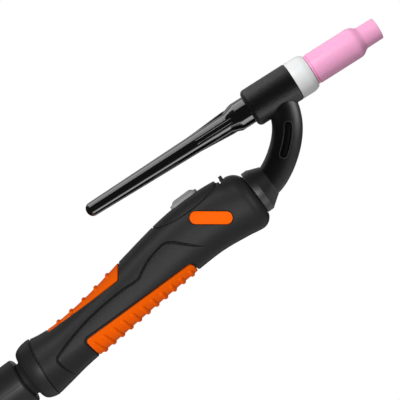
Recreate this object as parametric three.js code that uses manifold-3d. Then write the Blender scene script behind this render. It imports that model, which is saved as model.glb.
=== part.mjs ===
// A hand-held welding torch: a two-shell handle with soft grips and a push button, a bendable
// neck, a head with a ceramic nozzle and a long back cap, and a ball joint with a cable sleeve.
// Millimetres, +Z up, +X from the cable to the nozzle, the origin in the middle of the grip.
import * as THREE from 'three';
import Module from 'manifold-3d';
import { mergeVertices } from 'three/addons/utils/BufferGeometryUtils.js';

const wasm = await Module();
wasm.setup();

// ------------------------------------------------------------------ shared sizes
const GAP = 0.3; // between neighbouring pieces
const FINE = 20; // sides of the pieces seen from outside
const PLAIN = 16; // sides of the pieces inside
const PAST = 1; // how far a cutting form runs past what it cuts
const CHAMFER = 0.4; // at the turned edges

// ------------------------------------------------------------------ handle
// Side outline and half width of the handle body at its stations, from rear to front.
// `full` is how square the cross-section is: 2 is an ellipse.
const HANDLE_STATIONS = [
  { x: -68, top: 18.8, bottom: -18.6, half: 18.7, full: 2 },
  { x: -58, top: 17, bottom: -17.1, half: 17, full: 2.1 },
  { x: -46, top: 16.5, bottom: -15.3, half: 15.8, full: 2.3 },
  { x: -20, top: 19, bottom: -13.1, half: 15.5, full: 2.5 },
  { x: 10, top: 24.6, bottom: -10.6, half: 15.7, full: 2.5 },
  { x: 40, top: 29.4, bottom: -8.7, half: 16.4, full: 2.5 },
  { x: 60, top: 30.4, bottom: -8.2, half: 16.8, full: 2.5 },
  { x: 78, top: 29.2, bottom: -10.2, half: 17, full: 2.4 },
  { x: 86, top: 26.9, bottom: -11.6, half: 17.2, full: 2.3 },
  { x: 95, top: 25.8, bottom: -12.2, half: 17.4, full: 2.2 },
];
const HANDLE_REAR = HANDLE_STATIONS[0];
const HANDLE_FRONT = HANDLE_STATIONS[HANDLE_STATIONS.length - 1];
const NOSE_ROUND = 8.6; // radius that closes the front of the body
const NOSE_DEPTH = 8; // how far back that rounding starts
const SHELL_WALL = 3;
const REAR_SEAM_TILT = 5; // degrees, the lean of the joint with the rear ring
const LOFT_SIDES = 16;
const LOFT_STEP = 12;

// ------------------------------------------------------------------ soft grips
const GRIP_THICKNESS = 1.5;
const GRIP_CORNER = 1.2;
const UPPER_GRIP_REAR = -52.8;
const UPPER_GRIP_FRONT = -0.8;
const UPPER_GRIP_EDGE = 15.7; // height of its lower edge
const UPPER_GRIP_LEAN = 4.8; // how far its front edge leans forward
const UPPER_GRIP_LEAN_HEIGHT = 7.2;
const UPPER_RIBS = 5;
const UPPER_RIB_FIRST = -45;
const UPPER_RIB_PITCH = 10;
const UPPER_RIB_WIDTH = 2;
const LOWER_GRIP_REAR = -37.4;
const LOWER_GRIP_FRONT = 40.5;
const LOWER_GRIP_EDGE_REAR = -2.1;
const LOWER_GRIP_EDGE_FRONT = -3.2;
const LOWER_GRIP_CORNER = 2.6;
const LOWER_GRIP_LEAN = 1.8; // how far its rear edge leans forward at the bottom
const LOWER_RIBS = 11;
const LOWER_RIB_FIRST = -31.5;
const LOWER_RIB_PITCH = 6.8;
const LOWER_RIB_WIDTH = 2.7;
const LOWER_RIB_SLANT = 3; // of the rearmost rib, at its top; the foremost stands upright
const LOWER_RIB_DROP = 2.8; // from the grip's edge to the rib's round end
const RIB_HEIGHT = 1.1;

// ------------------------------------------------------------------ switch module
const MODULE_X = 57.6;
const MODULE_LENGTH = 48;
const MODULE_Z = 29.5; // height of the middle of the oval that outlines the cover
const MODULE_DEPTH = 6.5;
const BUTTON_X = 58.9;
const BUTTON_LENGTH = 19;
const BUTTON_WIDTH = 9;
const BUTTON_STEP = 1.4; // how far its lower level stands out of the cover
const BUTTON_DOME_LENGTH = 15;
const BUTTON_DOME_WIDTH = 7.4;
const BUTTON_DOME_HEIGHT = 1.8;
const BUTTON_FLANGE_SPREAD = 1.4; // the flange's width beyond the button, each way
const BUTTON_FLANGE_HEIGHT = 1.2;
const BUTTON_TRAVEL = 1.2;
const BUTTON_RELIEF = 1.5; // room between the flange and the curved cover
const SWITCH_LENGTH = 12.8;
const SWITCH_WIDTH = 5.8;
const SWITCH_HEIGHT = 6.4;
const PLUNGER_LENGTH = 2.8;
const PLUNGER_WIDTH = 1.6;
const PLUNGER_POCKET = 3; // depth of the plunger's hole in the switch
const BOARD_LENGTH = 34;
const BOARD_WIDTH = 14;
const BOARD_THICKNESS = 1.2;
const BOARD_LEDGE = 1.6; // how far the ledges reach under the board
const BOARD_LEDGE_THICKNESS = 1.4;
const SPRING_RADIUS = 1.9;
const SPRING_WIRE = 0.3;
const SPRING_TURNS = 4;
const SPRING_SPACING = 18;
const LEAD_RADIUS = 0.7;
const LEAD_SPACING = 4;
const LEAD_LENGTH = 19;
const LEAD_RISE = 3; // from the board to the middle of the leads and the plug
const PLUG_LENGTH = 10;
const PLUG_WIDTH = 8;
const PLUG_HEIGHT = 3.4;
const LATCH_NOTCH = 2.6; // open gap between the cover's tip and the latch
const LATCH_THICKNESS = 2.1;
const LATCH_WIDTH = 8;
const LATCH_RISE = 1.5; // above the body
const LATCH_DEPTH = 6; // below the body
const LATCH_FOOT = 2.8;
const LATCH_FOOT_THICKNESS = 1.2;
const LATCH_SWING = 1; // free room in front of the latch
const NOTCH_DEPTH = 2;
const COVER_TIP_SET = 1; // from the end of its oval back to the cover's tip

// ------------------------------------------------------------------ badge on the near side
const BADGE_X = 65.6;
const BADGE_Z = 12.3;
const BADGE_LENGTH = 25.8;
const BADGE_HEIGHT = 8;
const BADGE_TURN = -36.5; // degrees
const BADGE_RISE = 0.5;
const BADGE_SEAT = 0.8; // depth of its seat in the shell

// ------------------------------------------------------------------ handle screws
const SCREW_PLACES = [
  { x: -55, z: -9.5 },
  { x: -10, z: 11 },
  { x: 50, z: -1.5 },
  { x: 79, z: -3.5 },
];
const SCREW_RADIUS = 1.5;
const SCREW_HEAD_RADIUS = 2.7;
const SCREW_HEAD_HEIGHT = 1.6;
const SCREW_POCKET = 2.2; // how deep the head lies under the surface
const SCREW_GRIP = 7; // length of thread in the near shell
const SCREW_RECESS_WIDTH = 0.7;
const SCREW_RECESS_REACH = 1.6;
const SCREW_RECESS_DEPTH = 1;
const BOSS_WALL = 1.6;

// ------------------------------------------------------------------ ball joint and cable sleeve
const BALL_SET = 5.5; // from the end of the shells back to the ball's centre
const BALL_X = HANDLE_REAR.x - BALL_SET;
const BALL_RADIUS = 12.6;
const BALL_FRONT_CUT = 9.6; // from the centre to the flat on its front
const BALL_STEM_RADIUS = 10.8;
const BALL_STEM_LENGTH = 22.5; // from the centre to the rear end
const BALL_FLANGE_RADIUS = 12.6;
const BALL_FLANGE_WIDTH = 3;
const BALL_FLANGE_INSET = 4; // from the stem's end
const HOSE_BORE = 8;
const REAR_RING_LENGTH = 10;
const RING_REAR = HANDLE_REAR.x - REAR_RING_LENGTH;
const RING_PROUD = 0.1; // over the end of the shells
const RING_RADIUS = HANDLE_REAR.top + RING_PROUD;
const RING_REAR_RADIUS = 14.4;
const SPIGOT_RADIUS = 15.4;
const SPIGOT_WALL = 1.2;
const SPIGOT_LENGTH = 6; // past the rear station
const SEAT_LIP = 1.8; // thickness of the seat's front wall
const SEAT_MOUTH = 0.6; // from the ball's centre forward to the seat's rear
const SEAT_ROUND_END = 1.5; // from the flat on the ball back to the end of the round seat
const RING_ROUND_END = 1; // from the ball's centre back to the end of the ring's round seat
const SLEEVE_STANDOFF = 3.6; // room to tilt behind the rear ring
const SLEEVE_FRONT = RING_REAR - SLEEVE_STANDOFF;
const SLEEVE_LENGTH = 61.4;
const SLEEVE_RADIUS = 15.3;
const SLEEVE_REAR_RADIUS = 14.5;
const SLEEVE_SHOULDER = 3;
const SLEEVE_WALL = 2.6;
const SLEEVE_MOUTH_RADIUS = 9.5;
const SLEEVE_MOUTH_DEPTH = 4;
const SLEEVE_STEP = 2; // length of the cones between its bores
const SLEEVE_EDGE = 0.8; // chamfer at its rear
const SLEEVE_SCREW_SET = 37.4; // behind the sleeve's front
const SLEEVE_SCREW_X = SLEEVE_FRONT - SLEEVE_SCREW_SET;
const SLEEVE_SCREW_Y = 11.3;
const SLEEVE_SCREW_RADIUS = 1.1;
const SLEEVE_SCREW_HEAD = 2;
const SLEEVE_SCREW_HEAD_HEIGHT = 1.6;
const SLEEVE_SCREW_SOCKET = 1; // depth of its hexagon socket
const SLEEVE_SCREW_GRIP = 4; // length of thread in the upper half
const SLEEVE_SCREW_DEPTH = 7.4; // from the joint down to the head
const SLEEVE_BOSS_RADIUS = 2.6;

// ------------------------------------------------------------------ gas and power fittings
const TUBE_Z = 8.4; // height of the tube in the front of the handle
const TUBE_RADIUS = 5;
const TUBE_BORE = 3;
const TUBE_REAR = 24;
const TUBE_FLANGE_RADIUS = 6;
const TUBE_FLANGE_WIDTH = 2.4;
const NUT_ACROSS = 15;
const NUT_LIP = 2.5;
const NUT_THREAD_RADIUS = 6.5;
const NIPPLE_HEAD_LENGTH = 5;
const NIPPLE_STEM_RADIUS = 4;
const NIPPLE_STEM_LENGTH = 14;
const NIPPLE_BARB = 0.6;
const NIPPLE_BARBS = 3;
const NIPPLE_BORE = 2.4;
const BULKHEAD_X = 34;
const BULKHEAD_THICKNESS = 2.2;
const BULKHEAD_TOP = 14.6;

// ------------------------------------------------------------------ neck
const NECK_RADIUS = 9.3;
const NECK_ROOT = 9; // how far it reaches into the handle
const NECK_REAR = HANDLE_FRONT.x - NECK_ROOT;
const NECK_STEP = 2; // between the points taken from its middle line
// Middle line of the neck in front of the handle, to the axis of the head.
const NECK_LINE = [
  [107.4, 9.4],
  [116.2, 12.9],
  [125.2, 18.8],
  [131.7, 24.8],
  [136.3, 31],
  [139.6, 38.6],
  [141.7, 49.3],
];
const NECK_TUBE_RADIUS = 4.6;
const NECK_FLANGE_RADIUS = 12.2;
const NECK_FLANGE_WIDTH = 2.7;
const CLAMP_WALL = 2.2; // the wall behind the neck's flange
const COLLAR_RADIUS = 14.1;
const COLLAR_RING = 4.3; // length of its straight part
const COLLAR_LENGTH = 11.6;
const COLLAR_TIP = 1; // wall at its thin end
const COLLAR_CLIMB = 1; // rise of its thin end with the neck

// ------------------------------------------------------------------ head, along its own axis
const HEAD_X = 153.6; // where the black head meets the white ring
const HEAD_Z = 48.5;
const HEAD_TILT = 4.1; // degrees, nose down
const HEAD_LENGTH = 31.2;
const HEAD_RADIUS = 12.1;
const HEAD_FILLET = 3.6;
const HEAD_WALL = 3.8;
const HEAD_REAR_WALL = 3;
const CORE_THREAD = 5.2; // bore radius at both ends
const CORE_REAR_THREAD = 9; // depth of the rear bore
const CORE_FRONT_THREAD = 11.5; // depth of the front bore
const CORE_CHAMBER = 3.2;
const CORE_STUB_RADIUS = 5.4;
const CORE_STUB_DROP = 12.6; // from the head's axis to the stub's end
const CORE_FRONT_INSET = 0.5;
const RING_LENGTH = 12;
const RING_ROUND = 1.6;
const BODY_RADIUS = 7; // collet body inside the white ring
const BODY_THREAD = 6; // collet body inside the nozzle
const BODY_THREAD_LENGTH = 12.5;
const BODY_NOSE = 4.3;
const BODY_NOSE_LENGTH = 14;
const BODY_BORE = 2.5;
const BODY_TIP_WALL = 3; // length of the narrow front of its bore
const GAS_HOLE_RADIUS = 0.8;
const GAS_HOLES = 4;
const NOZZLE_LENGTH = 47.4;
const NOZZLE_RADIUS = 9.8;
const NOZZLE_LIP = 1.1; // length of the rim at the rear
const NOZZLE_LIP_RADIUS = 9.4;
const NOZZLE_BODY = 30.4; // from the rear to the shoulder
const NOZZLE_SHOULDER = 7;
const NOZZLE_TIP_RADIUS = 6.9;
const NOZZLE_BORE = 4.75;
const NOZZLE_CHAMBER = 5.5;
const NOZZLE_TIP_BORE_LENGTH = 14;
const ELECTRODE_RADIUS = 1.2;
const ELECTRODE_LENGTH = 175;
const ELECTRODE_SET_BACK = 4.5; // from the nozzle's mouth back to the point
const ELECTRODE_POINT = 6;
const ELECTRODE_POINT_RADIUS = 0.25;
const COLLET_RADIUS = 2.2;
const COLLET_REAR = -27.5;
const COLLET_SLOT = 0.5;
const COLLET_SLOT_LENGTH = 14;

// ------------------------------------------------------------------ back cap, along the head's axis
const CAP_LENGTH = 114.8; // outside the head
const CAP_COLLAR_RADIUS = 9.3;
const CAP_COLLAR_LENGTH = 7.8;
const CAP_FLATS = 8.7; // from the axis to each of the four flats
const CAP_CONE_LENGTH = 7.2;
const CAP_TUBE_RADIUS = 6.3;
const CAP_END_RADIUS = 4.35;
const CAP_END_ROUND = 3;
const CAP_STEM_LENGTH = 12.4; // inside the head
const CAP_STEM_BORE = 2.9;
const CAP_BORE = 1.9;
const CAP_BORE_END = 5; // wall at the closed end
const CAP_RIBS = 4;
const CAP_RIB_WIDTH = 2.8;
const CAP_RIB_RADIUS = 7.5;
const CAP_RIB_LENGTH = 39; // from the front of the collar
const CAP_RIB_SINK = 2; // how far its foot lies inside the tube and the cone
const CAP_RIB_END_SINK = 0.7; // how far its thin end lies inside the tube
const CAP_CLEARANCE = 0.4; // behind the head
const O_RING_RADIUS = 5; // middle of its section
const O_RING_SECTION = 0.85;

// ------------------------------------------------------------------ materials
const finish = (color, roughness, metalness = 0) =>
  new THREE.MeshStandardMaterial({ color, roughness, metalness });
const blackPlastic = finish(0x2b2b2c, 0.55);
const blackRubber = finish(0x232323, 0.7);
const orangeRubber = finish(0xff6000, 0.6);
const greyPlastic = finish(0x9c9c9c, 0.5);
const glossBlack = finish(0x0c0c0c, 0.12);
const whitePlastic = finish(0xf0f2f2, 0.4);
const pinkCeramic = finish(0xf9aedb, 0.5);
const copper = finish(0xb87040, 0.35, 1);
const brass = finish(0xc8a24a, 0.35, 1);
const steel = finish(0x9a9da0, 0.35, 1);
const tungsten = finish(0x8a8c90, 0.4, 1);
const greenBoard = finish(0x1f6b3a, 0.5);
const redRubber = finish(0xa83226, 0.6);

// ------------------------------------------------------------------ solids
const radians = THREE.MathUtils.degToRad;

// A closed mesh as a solid that can be cut and joined, facing out.
function solidOf(geometry) {
  const bare = geometry.clone();
  bare.deleteAttribute('normal');
  bare.deleteAttribute('uv');
  const merged = mergeVertices(bare, 1e-4);
  const points = merged.attributes.position.array;
  const index = merged.index.array;
  const triangles = [];
  let volume = 0;
  for (let i = 0; i < index.length; i += 3) {
    const [a, b, c] = [index[i], index[i + 1], index[i + 2]];
    if (a === b || b === c || c === a) continue;
    triangles.push([a, b, c]);
    const [p, q, r] = [a, b, c].map((k) => new THREE.Vector3().fromArray(points, k * 3));
    volume += p.dot(q.cross(r));
  }
  const facing = volume > 0 ? triangles : triangles.map(([a, b, c]) => [a, c, b]);
  return new wasm.Manifold(new wasm.Mesh({
    numProp: 3,
    vertProperties: Float32Array.from(points),
    triVerts: Uint32Array.from(facing.flat()),
  }));
}

// The mesh of a solid.
function geometryOf(solid) {
  const mesh = solid.getMesh();
  const geometry = new THREE.BufferGeometry();
  const points = [];
  for (let i = 0; i < mesh.vertProperties.length; i += mesh.numProp) {
    points.push(...mesh.vertProperties.slice(i, i + 3));
  }
  geometry.setAttribute('position', new THREE.Float32BufferAttribute(points, 3));
  geometry.setIndex(Array.from(mesh.triVerts));
  const flat = geometry.toNonIndexed();
  flat.computeVertexNormals();
  return flat;
}

function named(name, solid, material) {
  const mesh = new THREE.Mesh(geometryOf(solid), material);
  mesh.name = name;
  return mesh;
}

// A closed outline of [x, radius] turned about the X axis.
function turned(outline, sides = FINE) {
  const points = [...outline, outline[0]].map(([x, radius]) => new THREE.Vector2(radius, x));
  const geometry = new THREE.LatheGeometry(points, sides);
  geometry.rotateZ(-Math.PI / 2);
  return geometry;
}

const rod = (from, to, radius, sides = PLAIN) =>
  turned([[from, 0], [from, radius], [to, radius], [to, 0]], sides);

const pipe = (from, to, radius, bore, sides = PLAIN) =>
  turned([[from, bore], [from, radius], [to, radius], [to, bore]], sides);

// Points of a round corner about [x, r], from one angle to another in degrees.
function arc(x, r, radius, from, to, steps = 4) {
  return Array.from({ length: steps + 1 }, (unused, i) => {
    const angle = radians(from + ((to - from) * i) / steps);
    return [x + radius * Math.cos(angle), r + radius * Math.sin(angle)];
  });
}

const shift = (geometry, x, y, z) => geometry.translate(x, y, z);

// A block between two corners.
function block(low, high) {
  const size = high.map((value, i) => value - low[i]);
  const middle = high.map((value, i) => (value + low[i]) / 2);
  return new THREE.BoxGeometry(...size).translate(...middle);
}

// An outline with its corners rounded.
function rounded(corners, radius) {
  const shape = new THREE.Shape();
  corners.forEach((corner, i) => {
    const at = new THREE.Vector2(...corner);
    const before = new THREE.Vector2(...corners.at(i - 1));
    const after = new THREE.Vector2(...corners[(i + 1) % corners.length]);
    const enter = at.clone().add(before.sub(at).setLength(radius));
    const leave = at.clone().add(after.sub(at).setLength(radius));
    if (i === 0) {
      shape.moveTo(enter.x, enter.y);
    } else {
      shape.lineTo(enter.x, enter.y);
    }
    shape.quadraticCurveTo(at.x, at.y, leave.x, leave.y);
  });
  shape.closePath();
  return shape;
}

// A pill-shaped outline about [x, z].
function pill(x, z, length, width, turn = 0) {
  const reach = (length - width) / 2;
  const angle = radians(turn);
  const [dx, dz] = [reach * Math.cos(angle), reach * Math.sin(angle)];
  const shape = new THREE.Shape();
  shape.absarc(x + dx, z + dz, width / 2, angle - Math.PI / 2, angle + Math.PI / 2);
  shape.absarc(x - dx, z - dz, width / 2, angle + Math.PI / 2, angle + (3 * Math.PI) / 2);
  shape.closePath();
  return shape;
}

// A side outline of x and z made solid from one y to another.
function sideways(shape, from, to, curveSegments = 6) {
  const geometry = new THREE.ExtrudeGeometry(shape, {
    depth: to - from,
    bevelEnabled: false,
    curveSegments,
  });
  return geometry.rotateX(Math.PI / 2).translate(0, to, 0);
}

// A plan outline of x and y made solid from one z to another.
function upright(shape, from, to, curveSegments = 6) {
  const geometry = new THREE.ExtrudeGeometry(shape, {
    depth: to - from,
    bevelEnabled: false,
    curveSegments,
  });
  return geometry.translate(0, 0, from);
}

// Several closed meshes as one solid.
const joined = (...geometries) => geometries.map(solidOf).reduce((whole, part) => whole.add(part));

// ------------------------------------------------------------------ handle body
// One measure of the handle at x, eased through its stations.
function handleAt(x, key) {
  const clamped = Math.min(Math.max(x, HANDLE_REAR.x), HANDLE_FRONT.x);
  const last = HANDLE_STATIONS.length - 1;
  const found = HANDLE_STATIONS.findIndex((station) => station.x > clamped);
  const i = found < 0 ? last - 1 : found - 1;
  const [a, b] = [HANDLE_STATIONS[i], HANDLE_STATIONS[i + 1]];
  const slope = (at) => {
    const before = HANDLE_STATIONS[Math.max(at - 1, 0)];
    const after = HANDLE_STATIONS[Math.min(at + 1, last)];
    return (after[key] - before[key]) / (after.x - before.x);
  };
  const span = b.x - a.x;
  const t = (clamped - a.x) / span;
  const eased = t * t * (3 - 2 * t);
  const leaving = span * t * (1 - t) ** 2 * slope(i);
  const arriving = span * t * t * (t - 1) * slope(i + 1);
  return a[key] * (1 - eased) + b[key] * eased + leaving + arriving;
}

// The handle's cross-section at x, moved out by `offset`.
function handleSection(x, offset, sides) {
  const front = HANDLE_FRONT.x + Math.min(offset, 0);
  const into = Math.max(x - (front - NOSE_DEPTH), 0);
  const closing = NOSE_ROUND - Math.sqrt(NOSE_ROUND ** 2 - Math.min(into, NOSE_DEPTH) ** 2);
  const top = handleAt(x, 'top') + offset - closing;
  const bottom = handleAt(x, 'bottom') - offset + closing;
  const half = handleAt(x, 'half') + offset - closing;
  const power = 2 / handleAt(x, 'full');
  const bulge = (value) => Math.sign(value) * Math.abs(value) ** power;
  return Array.from({ length: sides }, (unused, i) => {
    const angle = (2 * Math.PI * i) / sides;
    const y = half * bulge(Math.cos(angle));
    const z = (top + bottom) / 2 + ((top - bottom) / 2) * bulge(Math.sin(angle));
    return new THREE.Vector3(x, y, z);
  });
}

// Rings of points joined into one closed skin.
function loft(rings) {
  const sides = rings[0].length;
  const points = rings.flat();
  const faces = [];
  for (let i = 0; i + 1 < rings.length; i += 1) {
    for (let j = 0; j < sides; j += 1) {
      const [a, b] = [i * sides + j, i * sides + ((j + 1) % sides)];
      faces.push(a, b, b + sides, a, b + sides, a + sides);
    }
  }
  for (const [first, flip] of [[0, false], [(rings.length - 1) * sides, true]]) {
    for (let j = 1; j + 1 < sides; j += 1) {
      const [b, c] = flip ? [first + j, first + j + 1] : [first + j + 1, first + j];
      faces.push(first, b, c);
    }
  }
  const geometry = new THREE.BufferGeometry().setFromPoints(points);
  geometry.setIndex(faces);
  return geometry;
}

// The handle's outer form moved out by `offset`, longer at the rear than the finished shells.
function handleForm(offset, sides = LOFT_SIDES, step = LOFT_STEP) {
  const rear = RING_REAR;
  const front = HANDLE_FRONT.x + Math.min(offset, 0);
  const bend = front - NOSE_DEPTH;
  const straight = Math.round((bend - HANDLE_REAR.x) / step);
  const rings = [rear];
  for (let i = 0; i < straight; i += 1) {
    rings.push(HANDLE_REAR.x + ((bend - HANDLE_REAR.x) * i) / straight);
  }
  for (const share of [0, 0.4, 0.7, 0.9, 1]) {
    rings.push(bend + NOSE_DEPTH * share);
  }
  return solidOf(loft(rings.map((x) => handleSection(x, offset, sides))));
}

const FAR = 60; // beyond every outline
const outer = handleForm(0);
const inner = handleForm(-SHELL_WALL, 12, 2 * LOFT_STEP);

// Everything behind the slanted rear seam, with a gap on the side asked for.
function behindSeam(gap) {
  const slab = block([-2 * FAR, -FAR, -FAR], [gap, FAR, FAR]);
  slab.rotateY(radians(REAR_SEAM_TILT));
  return solidOf(shift(slab, HANDLE_REAR.x, 0, 0));
}

// The band between two depths of the handle's skin inside a side outline.
function skin(shape, outside, inside, from = -FAR, to = FAR) {
  const window = solidOf(sideways(shape, from, to));
  return window.intersect(handleForm(outside)).subtract(handleForm(-inside));
}

// ------------------------------------------------------------------ grips
function upperGripShape(gap) {
  const rear = UPPER_GRIP_REAR - gap;
  const front = UPPER_GRIP_FRONT + gap;
  const edge = UPPER_GRIP_EDGE - gap;
  const slope = UPPER_GRIP_LEAN / UPPER_GRIP_LEAN_HEIGHT;
  const frontTop = front + slope * (FAR - edge);
  return rounded([[rear, FAR], [rear, edge], [front, edge], [frontTop, FAR]], GRIP_CORNER);
}

function lowerGripShape(gap) {
  const edgeRear = LOWER_GRIP_EDGE_REAR + gap;
  const edgeFront = LOWER_GRIP_EDGE_FRONT + gap;
  const rear = LOWER_GRIP_REAR - gap;
  const front = LOWER_GRIP_FRONT + gap;
  const foot = HANDLE_REAR.bottom - RIB_HEIGHT;
  return rounded(
    [[rear, edgeRear], [rear + LOWER_GRIP_LEAN, foot], [front, foot], [front, edgeFront]],
    LOWER_GRIP_CORNER,
  );
}

// A cross rib's side outline: a bar with a round end at its top.
function ribShape(x, topZ, bottomZ, slant, width) {
  const half = width / 2;
  const shape = new THREE.Shape();
  shape.moveTo(x + half, bottomZ);
  shape.lineTo(x + half - slant, topZ - half);
  shape.absarc(x - slant, topZ - half, half, 0, Math.PI);
  shape.lineTo(x - half, bottomZ);
  shape.closePath();
  return shape;
}

function upperGrip() {
  let grip = skin(upperGripShape(0), 0, GRIP_THICKNESS);
  const raised = handleForm(RIB_HEIGHT).subtract(handleForm(-GRIP_THICKNESS / 2));
  const limit = solidOf(sideways(upperGripShape(0), -FAR, FAR));
  for (let i = 0; i < UPPER_RIBS; i += 1) {
    const x = UPPER_RIB_FIRST + i * UPPER_RIB_PITCH;
    const half = UPPER_RIB_WIDTH / 2;
    const slab = solidOf(block([x - half, -FAR, UPPER_GRIP_EDGE], [x + half, FAR, FAR]));
    grip = grip.add(slab.intersect(raised).intersect(limit));
  }
  return grip;
}

function lowerGrip() {
  let grip = skin(lowerGripShape(0), 0, GRIP_THICKNESS);
  const raised = handleForm(RIB_HEIGHT).subtract(handleForm(-GRIP_THICKNESS / 2));
  for (let i = 0; i < LOWER_RIBS; i += 1) {
    const share = i / (LOWER_RIBS - 1);
    const edge = LOWER_GRIP_EDGE_REAR * (1 - share) + LOWER_GRIP_EDGE_FRONT * share;
    const shape = ribShape(
      LOWER_RIB_FIRST + i * LOWER_RIB_PITCH,
      edge - LOWER_RIB_DROP,
      HANDLE_REAR.bottom - 2 * RIB_HEIGHT,
      LOWER_RIB_SLANT * (1 - share),
      LOWER_RIB_WIDTH,
    );
    grip = grip.add(solidOf(sideways(shape, -FAR, FAR, 3)).intersect(raised));
  }
  return grip;
}

// ------------------------------------------------------------------ switch module
// The oval that outlines the cover from the side, open to the top.
function moduleShape(gap) {
  const [long, deep] = [MODULE_LENGTH / 2 + gap, MODULE_DEPTH + gap];
  const shape = new THREE.Shape();
  shape.absellipse(MODULE_X, MODULE_Z, long, deep, Math.PI, 2 * Math.PI);
  shape.lineTo(MODULE_X + long, FAR);
  shape.lineTo(MODULE_X - long, FAR);
  shape.closePath();
  return shape;
}

const coverTop = handleAt(BUTTON_X, 'top');
const flangeTop = coverTop - SHELL_WALL - BUTTON_RELIEF;
const flangeBottom = flangeTop - BUTTON_FLANGE_HEIGHT;
const switchTop = flangeBottom - BUTTON_TRAVEL - 2 * GAP;
const boardTop = switchTop - SWITCH_HEIGHT - GAP;
const boardBottom = boardTop - BOARD_THICKNESS;
const springX = [BUTTON_X - SPRING_SPACING / 2, BUTTON_X + SPRING_SPACING / 2];

function switchCover() {
  const slot = pill(BUTTON_X, 0, BUTTON_LENGTH + 2 * GAP, BUTTON_WIDTH + 2 * GAP);
  const hole = solidOf(upright(slot, boardTop, FAR));
  return skin(moduleShape(0), 0, SHELL_WALL).subtract(hole);
}

function button() {
  const spread = 2 * BUTTON_FLANGE_SPREAD;
  const flange = pill(BUTTON_X, 0, BUTTON_LENGTH + spread, BUTTON_WIDTH + spread);
  const stem = pill(BUTTON_X, 0, BUTTON_LENGTH, BUTTON_WIDTH);
  const level = coverTop + BUTTON_STEP;
  const rings = [0, 0.6, 1].map((share) => {
    const inset = (1 - Math.sqrt(1 - share ** 2)) * BUTTON_DOME_HEIGHT;
    const [length, width] = [BUTTON_DOME_LENGTH - inset, BUTTON_DOME_WIDTH - inset];
    const outline = pill(BUTTON_X, 0, length, width).getPoints(4).slice(0, -1);
    return outline.map(({ x, y }) => new THREE.Vector3(x, y, level + BUTTON_DOME_HEIGHT * share));
  });
  const foot = rings[0].map((point) => point.clone().setZ(level - PAST));
  return joined(
    upright(flange, flangeBottom, flangeTop),
    upright(stem, flangeBottom, level),
    loft([foot, ...rings]),
  );
}

function microSwitch() {
  const [long, wide] = [SWITCH_LENGTH / 2, SWITCH_WIDTH / 2];
  const body = solidOf(block(
    [BUTTON_X - long, -wide, boardTop + GAP],
    [BUTTON_X + long, wide, switchTop],
  ));
  const pocket = block(
    [BUTTON_X - PLUNGER_LENGTH / 2 - GAP, -PLUNGER_WIDTH / 2 - GAP, switchTop - PLUNGER_POCKET],
    [BUTTON_X + PLUNGER_LENGTH / 2 + GAP, PLUNGER_WIDTH / 2 + GAP, FAR],
  );
  return body.subtract(solidOf(pocket));
}

function plunger() {
  const bottom = switchTop - PLUNGER_POCKET + BUTTON_TRAVEL + GAP;
  return solidOf(block(
    [BUTTON_X - PLUNGER_LENGTH / 2, -PLUNGER_WIDTH / 2, bottom],
    [BUTTON_X + PLUNGER_LENGTH / 2, PLUNGER_WIDTH / 2, flangeBottom - GAP],
  ));
}

function board() {
  const [long, wide] = [BOARD_LENGTH / 2, BOARD_WIDTH / 2];
  return solidOf(block([BUTTON_X - long, -wide, boardBottom], [BUTTON_X + long, wide, boardTop]));
}

// A round wire or tube along a curve.
function tube(curve, radius, sides, steps, bore = 0, boreSides = sides) {
  const section = new THREE.Shape();
  section.absarc(0, 0, radius, 0, 2 * Math.PI);
  if (bore > 0) {
    const hole = new THREE.Path();
    hole.absarc(0, 0, bore, 0, 2 * Math.PI);
    section.holes.push(hole);
  }
  return new THREE.ExtrudeGeometry(section, {
    steps,
    extrudePath: curve,
    curveSegments: Math.max(sides, boreSides),
  });
}

class Coil extends THREE.Curve {
  constructor(x, low, high, radius, turns) {
    super();
    Object.assign(this, { x, low, high, radius, turns });
  }

  getPoint(t, target = new THREE.Vector3()) {
    const angle = 2 * Math.PI * this.turns * t;
    return target.set(
      this.x + this.radius * Math.cos(angle),
      this.radius * Math.sin(angle),
      this.low + (this.high - this.low) * t,
    );
  }
}

function buttonSpring(x) {
  const low = boardTop + GAP + SPRING_WIRE;
  const high = flangeBottom - GAP - SPRING_WIRE;
  const coil = new Coil(x, low, high, SPRING_RADIUS, SPRING_TURNS);
  return solidOf(tube(coil, SPRING_WIRE, 3, 8 * SPRING_TURNS));
}

const boardRear = BUTTON_X - BOARD_LENGTH / 2;
const plugFront = boardRear - LEAD_LENGTH;

function lead(y) {
  const high = boardTop + LEAD_RISE;
  const line = new THREE.CatmullRomCurve3([
    new THREE.Vector3(boardRear - 2 * GAP, y, (boardTop + boardBottom) / 2),
    new THREE.Vector3(boardRear - LEAD_LENGTH / 3, y, high),
    new THREE.Vector3(boardRear - (2 * LEAD_LENGTH) / 3, y, high),
    new THREE.Vector3(plugFront + GAP, y, high),
  ]);
  return solidOf(tube(line, LEAD_RADIUS, 4, 8));
}

function plug() {
  const middle = boardTop + LEAD_RISE;
  return solidOf(block(
    [plugFront - PLUG_LENGTH, -PLUG_WIDTH / 2, middle - PLUG_HEIGHT / 2],
    [plugFront, PLUG_WIDTH / 2, middle + PLUG_HEIGHT / 2],
  ));
}

const latchRear = MODULE_X + MODULE_LENGTH / 2 - COVER_TIP_SET + LATCH_NOTCH;
const latchSurface = handleAt(latchRear, 'top');

function latch() {
  const half = LATCH_WIDTH / 2;
  const bottom = latchSurface - LATCH_DEPTH;
  const footTop = bottom + LATCH_FOOT_THICKNESS;
  return joined(
    block([latchRear, -half, bottom], [latchRear + LATCH_THICKNESS, half, latchSurface + LATCH_RISE]),
    block([latchRear, -half, bottom], [latchRear + LATCH_FOOT, half, footTop]),
  );
}

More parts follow.
